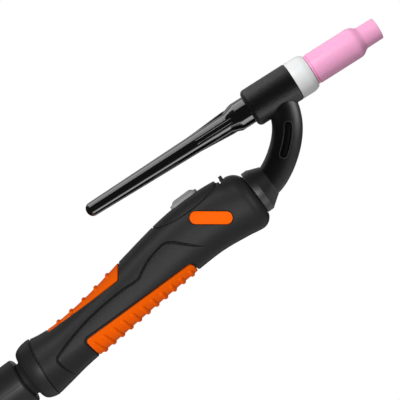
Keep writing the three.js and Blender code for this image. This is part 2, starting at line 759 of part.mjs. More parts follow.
// ------------------------------------------------------------------ badge
function badgeShape(gap) {
  return pill(BADGE_X, BADGE_Z, BADGE_LENGTH + 2 * gap, BADGE_HEIGHT + 2 * gap, BADGE_TURN);
}

// ------------------------------------------------------------------ screws between the shells
// How far the far shell's skin stands from the middle at a screw.
function sideReach({ x, z }) {
  const [top, bottom] = [handleAt(x, 'top'), handleAt(x, 'bottom')];
  const full = handleAt(x, 'full');
  const height = Math.abs((2 * z - top - bottom) / (top - bottom));
  return handleAt(x, 'half') * (1 - height ** full) ** (1 / full);
}

// Turns something made along X so that it lies along Y at a screw's place.
const acrossAt = (geometry, { x, z }) => geometry.rotateZ(Math.PI / 2).translate(x, 0, z);

function screw(place) {
  const head = sideReach(place) - SCREW_POCKET;
  const neck = head - SCREW_HEAD_HEIGHT;
  const body = turned([
    [-SCREW_GRIP, 0], [-SCREW_GRIP, SCREW_RADIUS], [neck, SCREW_RADIUS],
    [head - CHAMFER, SCREW_HEAD_RADIUS], [head, SCREW_HEAD_RADIUS], [head, 0],
  ], 12);
  const bar = SCREW_RECESS_WIDTH / 2;
  let made = solidOf(acrossAt(body, place));
  for (const [y, z] of [[bar, SCREW_RECESS_REACH], [SCREW_RECESS_REACH, bar]]) {
    const cut = block([head - SCREW_RECESS_DEPTH, -y, -z], [head + PAST, y, z]);
    made = made.subtract(solidOf(acrossAt(cut, place)));
  }
  return made;
}

function screwHole(place) {
  const head = sideReach(place) - SCREW_POCKET;
  const neck = head - SCREW_HEAD_HEIGHT;
  const hole = turned([
    [-SCREW_GRIP - GAP, 0],
    [-SCREW_GRIP - GAP, SCREW_RADIUS + GAP],
    [neck - GAP, SCREW_RADIUS + GAP],
    [head - CHAMFER - GAP, SCREW_HEAD_RADIUS + GAP], [FAR, SCREW_HEAD_RADIUS + GAP], [FAR, 0],
  ], 12);
  return solidOf(acrossAt(hole, place));
}

// ------------------------------------------------------------------ handle shells
const neckBore = NECK_RADIUS + GAP;
const neckFlangeX = HANDLE_FRONT.x - SHELL_WALL - GAP - NECK_FLANGE_WIDTH;
const clampX = neckFlangeX - GAP - CLAMP_WALL;

// Everything that is not wall is cut away: the same for both shells.
function shellCuts() {
  const seam = solidOf(block([-2 * FAR, -GAP / 2, -2 * FAR], [2 * FAR, GAP / 2, 2 * FAR]));
  const cuts = [
    behindSeam(GAP),
    seam,
    solidOf(rod(RING_REAR, HANDLE_REAR.x + SPIGOT_LENGTH + GAP, SPIGOT_RADIUS + GAP, FINE)),
    solidOf(shift(rod(clampX - PAST, HANDLE_FRONT.x + PAST, neckBore), 0, 0, TUBE_Z)),
    solidOf(shift(
      rod(neckFlangeX - GAP, neckFlangeX + NECK_FLANGE_WIDTH + GAP, NECK_FLANGE_RADIUS + GAP),
      0,
      0,
      TUBE_Z,
    )),
    solidOf(sideways(moduleShape(GAP), -FAR, FAR)),
    skin(upperGripShape(GAP), PAST, GRIP_THICKNESS + GAP),
    skin(lowerGripShape(GAP), PAST, GRIP_THICKNESS + GAP),
    skin(badgeShape(GAP), PAST, BADGE_SEAT + GAP, -FAR, 0),
    solidOf(block(
      [latchRear - LATCH_NOTCH, -LATCH_WIDTH / 2 - GAP, latchSurface - NOTCH_DEPTH],
      [latchRear, LATCH_WIDTH / 2 + GAP, FAR],
    )),
    solidOf(block(
      [latchRear - GAP, -LATCH_WIDTH / 2 - GAP, latchSurface - LATCH_DEPTH - PAST],
      [latchRear + LATCH_THICKNESS + LATCH_SWING, LATCH_WIDTH / 2 + GAP, FAR],
    )),
  ];
  return cuts.reduce((whole, cut) => whole.add(cut));
}

// Walls inside the body: behind the neck's flange, round the tube, and under the switch board.
function innerWalls() {
  const clamp = solidOf(block(
    [clampX, -FAR, -FAR],
    [clampX + CLAMP_WALL, FAR, FAR],
  )).intersect(inner);
  const bulk = solidOf(block(
    [BULKHEAD_X, -FAR, -FAR],
    [BULKHEAD_X + BULKHEAD_THICKNESS, FAR, BULKHEAD_TOP],
  )).intersect(inner);
  const passage = solidOf(shift(
    rod(BULKHEAD_X - PAST, BULKHEAD_X + BULKHEAD_THICKNESS + PAST, TUBE_RADIUS + GAP),
    0,
    0,
    TUBE_Z,
  ));
  const ledgeInner = BOARD_WIDTH / 2 - BOARD_LEDGE;
  const ledgeTop = boardBottom - GAP;
  const [rear, front] = [boardRear, boardRear + BOARD_LENGTH];
  const ledges = [-1, 1].map((side) => {
    const [near, far] = side < 0 ? [-FAR, -ledgeInner] : [ledgeInner, FAR];
    return solidOf(block([rear, near, ledgeTop - BOARD_LEDGE_THICKNESS], [front, far, ledgeTop]));
  });
  return clamp.add(bulk.subtract(passage)).add(ledges[0].add(ledges[1]).intersect(inner));
}

function bosses() {
  const radius = SCREW_RADIUS + GAP + BOSS_WALL;
  return SCREW_PLACES
    .map((place) => solidOf(acrossAt(rod(-FAR / 2, FAR / 2, radius, 12), place)))
    .reduce((whole, boss) => whole.add(boss))
    .intersect(outer);
}

function shells() {
  const pockets = SCREW_PLACES.map(screwHole).reduce((whole, hole) => whole.add(hole));
  const solid = outer.subtract(inner).add(innerWalls()).add(bosses());
  const whole = solid.subtract(shellCuts()).subtract(pockets);
  const [near, far] = [-1, 1].map((side) => {
    const [low, high] = side < 0 ? [-FAR, 0] : [0, FAR];
    const half = whole.intersect(solidOf(block([-2 * FAR, low, -FAR], [2 * FAR, high, FAR])));
    return half.decompose().sort((a, b) => b.volume() - a.volume())[0];
  });
  return { near, far };
}

// ------------------------------------------------------------------ ball joint
const seatRadius = SPIGOT_RADIUS - SPIGOT_WALL - GAP;
const socket = BALL_RADIUS + GAP;
const spigotFront = HANDLE_REAR.x + SPIGOT_LENGTH;

// Points on the ball's socket between two x offsets from its centre.
function socketArc(from, to, steps) {
  return Array.from({ length: steps + 1 }, (unused, i) => {
    const dx = from + ((to - from) * i) / steps;
    return [BALL_X + dx, Math.sqrt(socket ** 2 - dx ** 2)];
  });
}

function rearRing() {
  const rise = RING_RADIUS - RING_REAR_RADIUS;
  const run = HANDLE_REAR.x - RING_REAR;
  const barrel = [0, 0.1, 0.25, 0.45, 0.7, 1].map((share) => [
    RING_REAR + run * share,
    RING_REAR_RADIUS + rise * Math.sqrt(1 - (1 - share) ** 2),
  ]);
  const body = solidOf(turned([
    ...socketArc(RING_REAR - BALL_X, -RING_ROUND_END, 3).reverse(),
    ...barrel,
    [spigotFront, RING_RADIUS],
    [spigotFront, SPIGOT_RADIUS - SPIGOT_WALL],
    [BALL_X, SPIGOT_RADIUS - SPIGOT_WALL],
  ], FINE));
  const spigot = solidOf(pipe(RING_REAR, spigotFront, SPIGOT_RADIUS, SPIGOT_RADIUS - SPIGOT_WALL, FINE));
  return body.intersect(behindSeam(0)).add(body.intersect(spigot));
}

function ballSeat() {
  const front = spigotFront + GAP;
  return solidOf(turned([
    ...socketArc(SEAT_MOUTH, BALL_FRONT_CUT - SEAT_ROUND_END, 5),
    [front - SEAT_LIP, HOSE_BORE + GAP],
    [front, HOSE_BORE + GAP],
    [front, seatRadius],
    [BALL_X + SEAT_MOUTH, seatRadius],
  ], FINE));
}

function ball() {
  const end = BALL_X - BALL_STEM_LENGTH;
  const flangeRear = end + BALL_FLANGE_INSET;
  const flangeFront = flangeRear + BALL_FLANGE_WIDTH;
  const meets = -Math.sqrt(BALL_RADIUS ** 2 - BALL_STEM_RADIUS ** 2);
  const round = Array.from({ length: 7 }, (unused, i) => {
    const dx = meets + ((BALL_FRONT_CUT - meets) * i) / 6;
    return [BALL_X + dx, Math.sqrt(BALL_RADIUS ** 2 - dx ** 2)];
  });
  return solidOf(turned([
    [end, HOSE_BORE],
    [end, BALL_STEM_RADIUS],
    [flangeRear, BALL_STEM_RADIUS],
    [flangeRear, BALL_FLANGE_RADIUS],
    [flangeFront, BALL_FLANGE_RADIUS],
    [flangeFront, BALL_STEM_RADIUS],
    ...round,
    [BALL_X + BALL_FRONT_CUT, HOSE_BORE],
  ], FINE));
}

// ------------------------------------------------------------------ cable sleeve
const sleeveRear = SLEEVE_FRONT - SLEEVE_LENGTH;

function sleeveHalf(upper) {
  const stemEnd = BALL_X - BALL_STEM_LENGTH;
  const flangeRear = stemEnd + BALL_FLANGE_INSET - GAP;
  const flangeFront = flangeRear + BALL_FLANGE_WIDTH + 2 * GAP;
  const stem = BALL_STEM_RADIUS + GAP;
  const cavity = SLEEVE_REAR_RADIUS - SLEEVE_WALL;
  const mouth = sleeveRear + SLEEVE_MOUTH_DEPTH;
  const body = solidOf(turned([
    [sleeveRear, SLEEVE_MOUTH_RADIUS],
    [sleeveRear, SLEEVE_REAR_RADIUS - SLEEVE_EDGE],
    [sleeveRear + SLEEVE_EDGE, SLEEVE_REAR_RADIUS],
    [SLEEVE_FRONT - 2 * SLEEVE_SHOULDER, SLEEVE_RADIUS],
    ...arc(SLEEVE_FRONT - SLEEVE_SHOULDER, SLEEVE_RADIUS - SLEEVE_SHOULDER, SLEEVE_SHOULDER, 90, 0),
    [SLEEVE_FRONT, stem],
    [flangeFront, stem],
    [flangeFront, BALL_FLANGE_RADIUS + GAP],
    [flangeRear, BALL_FLANGE_RADIUS + GAP],
    [flangeRear, stem],
    [stemEnd - GAP, stem],
    [stemEnd - GAP - SLEEVE_STEP, cavity],
    [mouth + SLEEVE_STEP, cavity],
    [mouth, SLEEVE_MOUTH_RADIUS],
  ], FINE));
  const envelope = solidOf(rod(sleeveRear, SLEEVE_FRONT, SLEEVE_REAR_RADIUS - GAP, FINE));
  const side = upper ? 1 : -1;
  let made = body;
  for (const y of [-SLEEVE_SCREW_Y, SLEEVE_SCREW_Y]) {
    const post = rod(-SLEEVE_RADIUS, SLEEVE_RADIUS, SLEEVE_BOSS_RADIUS, 12);
    post.rotateY(Math.PI / 2).translate(SLEEVE_SCREW_X, y, 0);
    made = made.add(solidOf(post).intersect(envelope));
  }
  for (const y of [-SLEEVE_SCREW_Y, SLEEVE_SCREW_Y]) {
    made = made.subtract(sleeveScrewForm(y, GAP, FAR));
  }
  const [low, high] = side > 0 ? [GAP / 2, FAR] : [-FAR, -GAP / 2];
  return made.intersect(solidOf(block([-4 * FAR, -FAR, low], [4 * FAR, FAR, high])));
}

// A screw that stands on its head, or the hole for one.
function sleeveScrewForm(y, gap, tail) {
  const head = -SLEEVE_SCREW_DEPTH + gap;
  const form = turned([
    [-tail, 0], [-tail, SLEEVE_SCREW_HEAD + gap], [head, SLEEVE_SCREW_HEAD + gap],
    [head, SLEEVE_SCREW_RADIUS + gap], [SLEEVE_SCREW_GRIP + gap, SLEEVE_SCREW_RADIUS + gap],
    [SLEEVE_SCREW_GRIP + gap, 0],
  ], 12);
  form.rotateY(-Math.PI / 2);
  return solidOf(form.translate(SLEEVE_SCREW_X, y, 0));
}

function sleeveScrew(y) {
  const tail = SLEEVE_SCREW_DEPTH + SLEEVE_SCREW_HEAD_HEIGHT;
  const depth = 2 * SLEEVE_SCREW_SOCKET;
  const hex = new THREE.CylinderGeometry(SLEEVE_SCREW_RADIUS, SLEEVE_SCREW_RADIUS, depth, 6);
  hex.rotateX(Math.PI / 2).translate(SLEEVE_SCREW_X, y, -tail);
  return sleeveScrewForm(y, 0, tail).subtract(solidOf(hex));
}

// ------------------------------------------------------------------ gas and power fittings
const atTube = (geometry) => shift(geometry, 0, 0, TUBE_Z);
const neckTubeRear = HANDLE_FRONT.x + SHELL_WALL;

function powerTube() {
  return joined(
    atTube(pipe(TUBE_REAR, neckTubeRear - GAP, TUBE_RADIUS - GAP, TUBE_BORE)),
    atTube(pipe(TUBE_REAR, TUBE_REAR + TUBE_FLANGE_WIDTH, TUBE_FLANGE_RADIUS, TUBE_BORE)),
  );
}

function unionNut() {
  const rear = TUBE_REAR - TUBE_FLANGE_WIDTH;
  const front = TUBE_REAR + TUBE_FLANGE_WIDTH + GAP + NUT_LIP;
  const corner = NUT_ACROSS / 2 / Math.cos(Math.PI / 6);
  const hex = solidOf(atTube(rod(rear, front, corner, 6)));
  const thread = solidOf(atTube(rod(rear - PAST, front - NUT_LIP, NUT_THREAD_RADIUS)));
  const lip = solidOf(atTube(rod(rear - PAST, front + PAST, TUBE_RADIUS)));
  return hex.subtract(thread).subtract(lip);
}

function hoseNipple() {
  const front = TUBE_REAR - GAP;
  const head = front - NIPPLE_HEAD_LENGTH;
  const radius = NUT_THREAD_RADIUS - GAP;
  const outline = [[front, NIPPLE_BORE], [front, radius], [head, radius]];
  const pitch = NIPPLE_STEM_LENGTH / NIPPLE_BARBS;
  for (let i = 0; i < NIPPLE_BARBS; i += 1) {
    const x = head - i * pitch;
    outline.push([x, NIPPLE_STEM_RADIUS], [x - pitch / 2, NIPPLE_STEM_RADIUS]);
    outline.push([x - pitch / 2, NIPPLE_STEM_RADIUS + NIPPLE_BARB]);
  }
  outline.push([head - NIPPLE_STEM_LENGTH, NIPPLE_STEM_RADIUS - NIPPLE_BARB]);
  outline.push([head - NIPPLE_STEM_LENGTH, NIPPLE_BORE]);
  return solidOf(atTube(turned(outline, PLAIN)));
}

// ------------------------------------------------------------------ neck
const headPlace = new THREE.Matrix4()
  .makeRotationY(radians(HEAD_TILT))
  .setPosition(HEAD_X, 0, HEAD_Z);
const neckLine = new THREE.CatmullRomCurve3([
  new THREE.Vector3(NECK_REAR, 0, TUBE_Z),
  new THREE.Vector3(HANDLE_FRONT.x, 0, TUBE_Z),
  ...NECK_LINE.map(([x, z]) => new THREE.Vector3(x, 0, z)),
]);
const neckLength = neckLine.getLength();

// The stretch of the neck's middle line between two lengths from its rear end.
function neckStretch(from, to) {
  const points = Math.ceil((to - from) / NECK_STEP) + 1;
  return new THREE.CatmullRomCurve3(Array.from({ length: points }, (unused, i) => {
    const reach = from + ((to - from) * i) / (points - 1);
    return neckLine.getPointAt(reach / neckLength);
  }));
}

const stubStart = neckLength - CORE_STUB_DROP;

function neckSleeve() {
  const body = solidOf(tube(neckLine, NECK_RADIUS, 8, 12, TUBE_RADIUS));
  const flange = solidOf(atTube(
    pipe(neckFlangeX, neckFlangeX + NECK_FLANGE_WIDTH, NECK_FLANGE_RADIUS, NECK_RADIUS - PAST),
  ));
  const head = rod(-HEAD_LENGTH - FAR, FAR, HEAD_RADIUS + GAP, FINE).applyMatrix4(headPlace);
  const stub = tube(neckStretch(stubStart - PAST, neckLength), CORE_STUB_RADIUS + GAP, 8, 3);
  return body.add(flange).subtract(solidOf(head)).subtract(solidOf(stub));
}

function neckTube() {
  const line = neckStretch(neckTubeRear + GAP - NECK_REAR, stubStart - 2 * GAP);
  return solidOf(tube(line, NECK_TUBE_RADIUS, 6, 10, TUBE_BORE));
}

// A ring that tapers down to the neck and follows it upwards.
function neckCollar() {
  const rear = HANDLE_FRONT.x + GAP;
  const front = rear + COLLAR_LENGTH;
  const rings = [
    [rear, 0, COLLAR_RADIUS],
    [rear + COLLAR_RING, 0, COLLAR_RADIUS],
    [front - COLLAR_TIP, COLLAR_CLIMB, neckBore + COLLAR_TIP],
    [front, COLLAR_CLIMB, neckBore + COLLAR_TIP / 2],
  ].map(([x, climb, radius]) => Array.from({ length: FINE }, (unused, i) => {
    const angle = (2 * Math.PI * i) / FINE;
    return new THREE.Vector3(x, radius * Math.cos(angle), TUBE_Z + climb + radius * Math.sin(angle));
  }));
  const passage = tube(neckStretch(0, COLLAR_LENGTH * 3), neckBore, 8, 10);
  return solidOf(loft(rings)).subtract(solidOf(passage));
}

// ------------------------------------------------------------------ head
const coreRadius = HEAD_RADIUS - HEAD_WALL;
const coreRear = -HEAD_LENGTH + HEAD_REAR_WALL + GAP;
const ringFront = GAP + RING_LENGTH;
const nozzleRear = ringFront + GAP;
const nozzleMouth = nozzleRear + NOZZLE_LENGTH;
const sealBore = O_RING_RADIUS + O_RING_SECTION + GAP;

// The stub's room, in the head's own frame.
function stubForm(gap, from = stubStart) {
  const form = tube(neckStretch(from, neckLength), CORE_STUB_RADIUS + gap, 8, 4);
  return solidOf(form.applyMatrix4(headPlace.clone().invert()));
}

function headCover() {
  const body = solidOf(turned([
    [0, coreRadius + GAP],
    [0, HEAD_RADIUS],
    ...arc(-HEAD_LENGTH + HEAD_FILLET, HEAD_RADIUS - HEAD_FILLET, HEAD_FILLET, 90, 180, 5),
    [-HEAD_LENGTH, sealBore],
    [-HEAD_LENGTH + HEAD_REAR_WALL, sealBore],
    [-HEAD_LENGTH + HEAD_REAR_WALL, coreRadius + GAP],
  ], FINE));
  return body.subtract(stubForm(GAP, stubStart - HEAD_WALL));
}

function headCore() {
  const body = solidOf(turned([
    [coreRear, CORE_THREAD],
    [coreRear, coreRadius],
    [-CORE_FRONT_INSET, coreRadius],
    [-CORE_FRONT_INSET, CORE_THREAD],
    [-CORE_FRONT_INSET - CORE_FRONT_THREAD, CORE_THREAD],
    [-CORE_FRONT_INSET - CORE_FRONT_THREAD, CORE_CHAMBER],
    [coreRear + CORE_REAR_THREAD, CORE_CHAMBER],
    [coreRear + CORE_REAR_THREAD, CORE_THREAD],
  ], PLAIN));
  const bore = solidOf(rod(coreRear - PAST, PAST, CORE_CHAMBER));
  const threads = solidOf(rod(-CORE_FRONT_INSET - CORE_FRONT_THREAD, PAST, CORE_THREAD));
  return body.add(stubForm(0).subtract(bore).subtract(threads));
}

function insulatorRing() {
  return solidOf(turned([
    [GAP, BODY_RADIUS + GAP],
    [GAP, HEAD_RADIUS],
    [ringFront - 2 * RING_ROUND, HEAD_RADIUS],
    ...arc(ringFront - 2 * RING_ROUND, HEAD_RADIUS - RING_ROUND, RING_ROUND, 90, 30, 3),
    [ringFront, HEAD_RADIUS - RING_ROUND],
    [ringFront, BODY_RADIUS + GAP],
  ], FINE));
}

function nozzle() {
  const shoulder = nozzleRear + NOZZLE_BODY;
  const tip = shoulder + NOZZLE_SHOULDER;
  const threadEnd = nozzleRear + BODY_THREAD_LENGTH + GAP;
  const narrow = nozzleMouth - NOZZLE_TIP_BORE_LENGTH;
  return solidOf(turned([
    [nozzleRear, BODY_THREAD + GAP],
    [nozzleRear, NOZZLE_LIP_RADIUS - CHAMFER],
    [nozzleRear + CHAMFER, NOZZLE_LIP_RADIUS],
    [nozzleRear + NOZZLE_LIP, NOZZLE_LIP_RADIUS],
    [nozzleRear + NOZZLE_LIP + CHAMFER, NOZZLE_RADIUS],
    [shoulder, NOZZLE_RADIUS],
    [shoulder + NOZZLE_SHOULDER * 0.2, NOZZLE_RADIUS - 0.3],
    [tip - NOZZLE_SHOULDER * 0.3, NOZZLE_TIP_RADIUS + 0.5],
    [tip, NOZZLE_TIP_RADIUS + 0.1],
    [nozzleMouth - 0.5, NOZZLE_TIP_RADIUS],
    [nozzleMouth, NOZZLE_TIP_RADIUS - 0.5],
    [nozzleMouth, NOZZLE_BORE],
    [narrow, NOZZLE_BORE],
    [narrow - 2, NOZZLE_CHAMBER],
    [threadEnd, NOZZLE_CHAMBER],
    [threadEnd, BODY_THREAD + GAP],
  ], FINE));
}

function colletBody() {
  const rear = -CORE_FRONT_INSET - CORE_FRONT_THREAD + GAP;
  const flange = -CORE_FRONT_INSET + GAP;
  const threadEnd = nozzleRear + BODY_THREAD_LENGTH - GAP;
  const front = threadEnd + BODY_NOSE_LENGTH;
  const tipBore = ELECTRODE_RADIUS + GAP;
  let made = solidOf(turned([
    [rear, BODY_BORE],
    [rear, CORE_THREAD - GAP],
    [flange, CORE_THREAD - GAP],
    [flange, BODY_RADIUS],
    [ringFront, BODY_RADIUS],
    [ringFront, BODY_THREAD],
    [threadEnd, BODY_THREAD],
    [threadEnd, BODY_NOSE],
    [front - 1, BODY_NOSE],
    [front, BODY_NOSE - 1],
    [front, tipBore],
    [front - BODY_TIP_WALL, tipBore],
    [front - BODY_TIP_WALL - 1, BODY_BORE],
  ], PLAIN));
  const holes = front - BODY_TIP_WALL - 4;
  for (let i = 0; i < GAS_HOLES; i += 1) {
    const hole = rod(BODY_BORE - PAST, BODY_NOSE + PAST, GAS_HOLE_RADIUS, 6);
    hole.rotateZ(Math.PI / 2).rotateX((i * 2 * Math.PI) / GAS_HOLES + Math.PI / 4);
    made = made.subtract(solidOf(shift(hole, holes, 0, 0)));
  }
  return made;
}

const colletFront = nozzleRear + BODY_THREAD_LENGTH + BODY_NOSE_LENGTH - BODY_TIP_WALL - 1 - 3 * GAP;

function collet() {
  const bore = ELECTRODE_RADIUS + GAP;
  const body = solidOf(turned([
    [COLLET_REAR, bore],
    [COLLET_REAR, COLLET_RADIUS],
    [colletFront - 1, COLLET_RADIUS],
    [colletFront, COLLET_RADIUS - CHAMFER],
    [colletFront, bore],
  ], 16));
  const half = COLLET_SLOT / 2;
  const upright = block([colletFront - COLLET_SLOT_LENGTH, -half, -FAR], [FAR, half, FAR]);
  const level = block([colletFront - COLLET_SLOT_LENGTH, -FAR, -half], [FAR, FAR, half]);
  return body.subtract(solidOf(upright)).subtract(solidOf(level));
}

function electrode() {
  const point = nozzleMouth - ELECTRODE_SET_BACK;
  return solidOf(turned([
    [point - ELECTRODE_LENGTH, 0],
    [point - ELECTRODE_LENGTH, ELECTRODE_RADIUS],
    [point - ELECTRODE_POINT, ELECTRODE_RADIUS],
    [point, ELECTRODE_POINT_RADIUS],
    [point, 0],
  ], 16));
}

// ------------------------------------------------------------------ back cap
const capFront = -HEAD_LENGTH - CAP_CLEARANCE;
const capRear = capFront - CAP_LENGTH;
const sealX = -HEAD_LENGTH + HEAD_REAR_WALL / 2;

function backCap() {
  const stem = CORE_THREAD - GAP;
  const groove = O_RING_RADIUS - O_RING_SECTION - GAP;
  const grooveHalf = O_RING_SECTION + GAP;
  const collarRear = capFront - CAP_COLLAR_LENGTH;
  const coneRear = collarRear - CAP_CONE_LENGTH;
  const step = COLLET_REAR - GAP;
  const body = solidOf(turned([
    [capFront + CAP_STEM_LENGTH, CAP_STEM_BORE],
    [capFront + CAP_STEM_LENGTH, stem],
    [sealX + grooveHalf, stem],
    [sealX + grooveHalf, groove],
    [sealX - grooveHalf, groove],
    [sealX - grooveHalf, stem],
    [capFront, stem],
    [capFront, CAP_COLLAR_RADIUS - CHAMFER],
    [capFront - CHAMFER, CAP_COLLAR_RADIUS],
    [collarRear, CAP_COLLAR_RADIUS],
    [coneRear, CAP_TUBE_RADIUS],
    [capRear + CAP_END_ROUND, CAP_END_RADIUS],
    ...arc(capRear + CAP_END_ROUND, CAP_END_RADIUS - CAP_END_ROUND, CAP_END_ROUND, 90, 180, 4),
    [capRear, 0],
    [capRear + CAP_BORE_END, 0],
    [capRear + CAP_BORE_END, CAP_BORE],
    [step, CAP_BORE],
    [step, CAP_STEM_BORE],
  ], FINE));
  const flats = block([capRear - PAST, -CAP_FLATS, -CAP_FLATS], [FAR, CAP_FLATS, CAP_FLATS]);
  let made = body.intersect(solidOf(flats));
  for (let i = 0; i < CAP_RIBS; i += 1) {
    made = made.add(capRib((i * 360) / CAP_RIBS));
  }
  return made;
}

// One lengthwise rib, rising out of the tube and running into the collar.
function capRib(turn) {
  const collarRear = capFront - CAP_COLLAR_LENGTH;
  const shape = new THREE.Shape([
    new THREE.Vector2(collarRear - CAP_RIB_SINK, CAP_TUBE_RADIUS - CAP_RIB_SINK),
    new THREE.Vector2(collarRear - CAP_RIB_SINK, CAP_RIB_RADIUS),
    new THREE.Vector2(collarRear - CAP_CONE_LENGTH, CAP_RIB_RADIUS),
    new THREE.Vector2(capFront - CAP_RIB_LENGTH, CAP_TUBE_RADIUS - CAP_RIB_END_SINK),
    new THREE.Vector2(capFront - CAP_RIB_LENGTH, CAP_TUBE_RADIUS - CAP_RIB_SINK),
  ]);
  const rib = sideways(shape, -CAP_RIB_WIDTH / 2, CAP_RIB_WIDTH / 2);
  return solidOf(rib.rotateX(radians(turn)));
}

function oRing() {
  const section = Array.from({ length: 6 }, (unused, i) => {
    const angle = (i * Math.PI) / 3;
    return [sealX + O_RING_SECTION * Math.cos(angle), O_RING_RADIUS + O_RING_SECTION * Math.sin(angle)];
  });
  return solidOf(turned(section, PLAIN));
}

// ------------------------------------------------------------------ the torch
const torch = new THREE.Group();
torch.name = 'tig_torch';

const { near, far } = shells();
torch.add(
  named('left_shell', near, blackPlastic),
  named('right_shell', far, blackPlastic),
  named('upper_grip', upperGrip(), orangeRubber),
  named('lower_grip', lowerGrip(), orangeRubber),
  named('badge', skin(badgeShape(0), BADGE_RISE, BADGE_SEAT, -FAR, 0), orangeRubber),
  named('switch_cover', switchCover(), blackPlastic),
  named('button', button(), greyPlastic),
  named('micro_switch', microSwitch(), blackPlastic),
  named('switch_plunger', plunger(), redRubber),
  named('switch_board', board(), greenBoard),
  named('switch_plug', plug(), whitePlastic),
  named('module_latch', latch(), blackPlastic),
);
springX.forEach((x, i) => {
  torch.add(named(`button_spring_${i + 1}`, buttonSpring(x), steel));
});
[-LEAD_SPACING / 2, LEAD_SPACING / 2].forEach((y, i) => {
  torch.add(named(`switch_lead_${i + 1}`, lead(y), redRubber));
});
SCREW_PLACES.forEach((place, i) => {
  torch.add(named(`handle_screw_${i + 1}`, screw(place), steel));
});
torch.add(
  named('rear_ring', rearRing(), blackPlastic),
  named('ball_seat', ballSeat(), greyPlastic),
  named('ball', ball(), blackPlastic),
  named('support_upper', sleeveHalf(true), blackRubber),
  named('support_lower', sleeveHalf(false), blackRubber),
);
[-SLEEVE_SCREW_Y, SLEEVE_SCREW_Y].forEach((y, i) => {
  torch.add(named(`support_screw_${i + 1}`, sleeveScrew(y), steel));
});
torch.add(
  named('power_tube', powerTube(), brass),
  named('union_nut', unionNut(), brass),
  named('hose_nipple', hoseNipple(), brass),
  named('neck_collar', neckCollar(), blackRubber),
  named('neck_sleeve', neckSleeve(), blackRubber),
  named('neck_tube', neckTube(), copper),
);

const head = new THREE.Group();
head.applyMatrix4(headPlace);
head.add(
  named('head_cover', headCover(), blackRubber),
  named('head_core', headCore(), brass),
  named('insulator_ring', insulatorRing(), whitePlastic),
  named('nozzle', nozzle(), pinkCeramic),
  named('collet_body', colletBody(), copper),
  named('collet', collet(), copper),
  named('electrode', electrode(), tungsten),
  named('back_cap', backCap(), glossBlack),
  named('back_cap_o_ring', oRing(), redRubber),
);
torch.add(head);

export default torch;
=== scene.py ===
import math
from functools import lru_cache
from itertools import product

import bmesh
import bpy
from mathutils import Matrix, Vector


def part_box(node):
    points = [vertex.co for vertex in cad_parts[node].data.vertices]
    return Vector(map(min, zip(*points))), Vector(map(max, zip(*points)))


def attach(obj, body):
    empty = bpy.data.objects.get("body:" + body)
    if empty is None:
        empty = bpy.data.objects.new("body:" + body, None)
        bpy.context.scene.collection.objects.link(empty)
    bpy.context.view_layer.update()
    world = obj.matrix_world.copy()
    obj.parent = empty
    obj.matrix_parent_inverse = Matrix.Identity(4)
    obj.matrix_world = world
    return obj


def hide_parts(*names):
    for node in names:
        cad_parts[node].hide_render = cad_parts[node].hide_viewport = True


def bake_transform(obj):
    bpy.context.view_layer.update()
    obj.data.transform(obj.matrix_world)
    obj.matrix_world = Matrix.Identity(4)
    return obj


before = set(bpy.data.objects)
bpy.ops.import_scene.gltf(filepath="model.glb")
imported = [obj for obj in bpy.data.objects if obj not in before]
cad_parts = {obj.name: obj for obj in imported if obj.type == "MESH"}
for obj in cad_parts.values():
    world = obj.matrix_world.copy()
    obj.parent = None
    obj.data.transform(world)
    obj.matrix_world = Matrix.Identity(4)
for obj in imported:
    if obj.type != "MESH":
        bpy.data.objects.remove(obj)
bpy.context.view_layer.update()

bl_info = {
    "name": "TIG Torch Looks",
    "version": (1, 0, 0),
    "blender": (4, 5, 0),
    "location": "3D View > Sidebar > TIG Torch",
    "description": "Builds the finished pieces of a hand-held TIG welding torch and its studio",
    "category": "Object",
}

PHOTO_TURN = math.radians(36.5)  # how far the photo shows the torch turned
PIXEL = 0.6  # millimetres a photo pixel spans at the torch's middle plane
NEARER = 1.017  # how much larger the near side of the handle shows than that plane
CAMERA_X, CAMERA_Z, CAMERA_AWAY = 66.6, 24.6, 1000
FAR = 60.0  # how far cutting tools reach, in millimetres
GAP = 0.3  # between pieces that meet


# ------------------------------------------------------------------ numbers
def held(value, low=0, high=1):
    return min(max(value, low), high)


def eased(t):
    return t * t * (3 - 2 * t)


def full_turn(count):
    return [math.tau * k / count for k in range(count)]


def quarter_turn(count):
    return [math.pi / 2 * k / count for k in range(count + 1)]


# ------------------------------------------------------------------ sizes and colours
def linear(code):
    """A colour written as #rrggbb, as the linear values that shaders take."""
    parts = [int(code[k:k + 2], 16) / 255 for k in (1, 3, 5)]
    return [part / 12.92 if part <= 0.04045 else ((part + 0.055) / 1.055) ** 2.4 for part in parts]


def length(title, words, millimetres):
    return bpy.props.FloatProperty(
        name=title, description=words, default=millimetres / 1000, precision=5, unit="LENGTH",
    )


def colour(title, words, code):
    return bpy.props.FloatVectorProperty(
        name=title, description=words, default=linear(code), subtype="COLOR", size=3, min=0, max=1,
    )


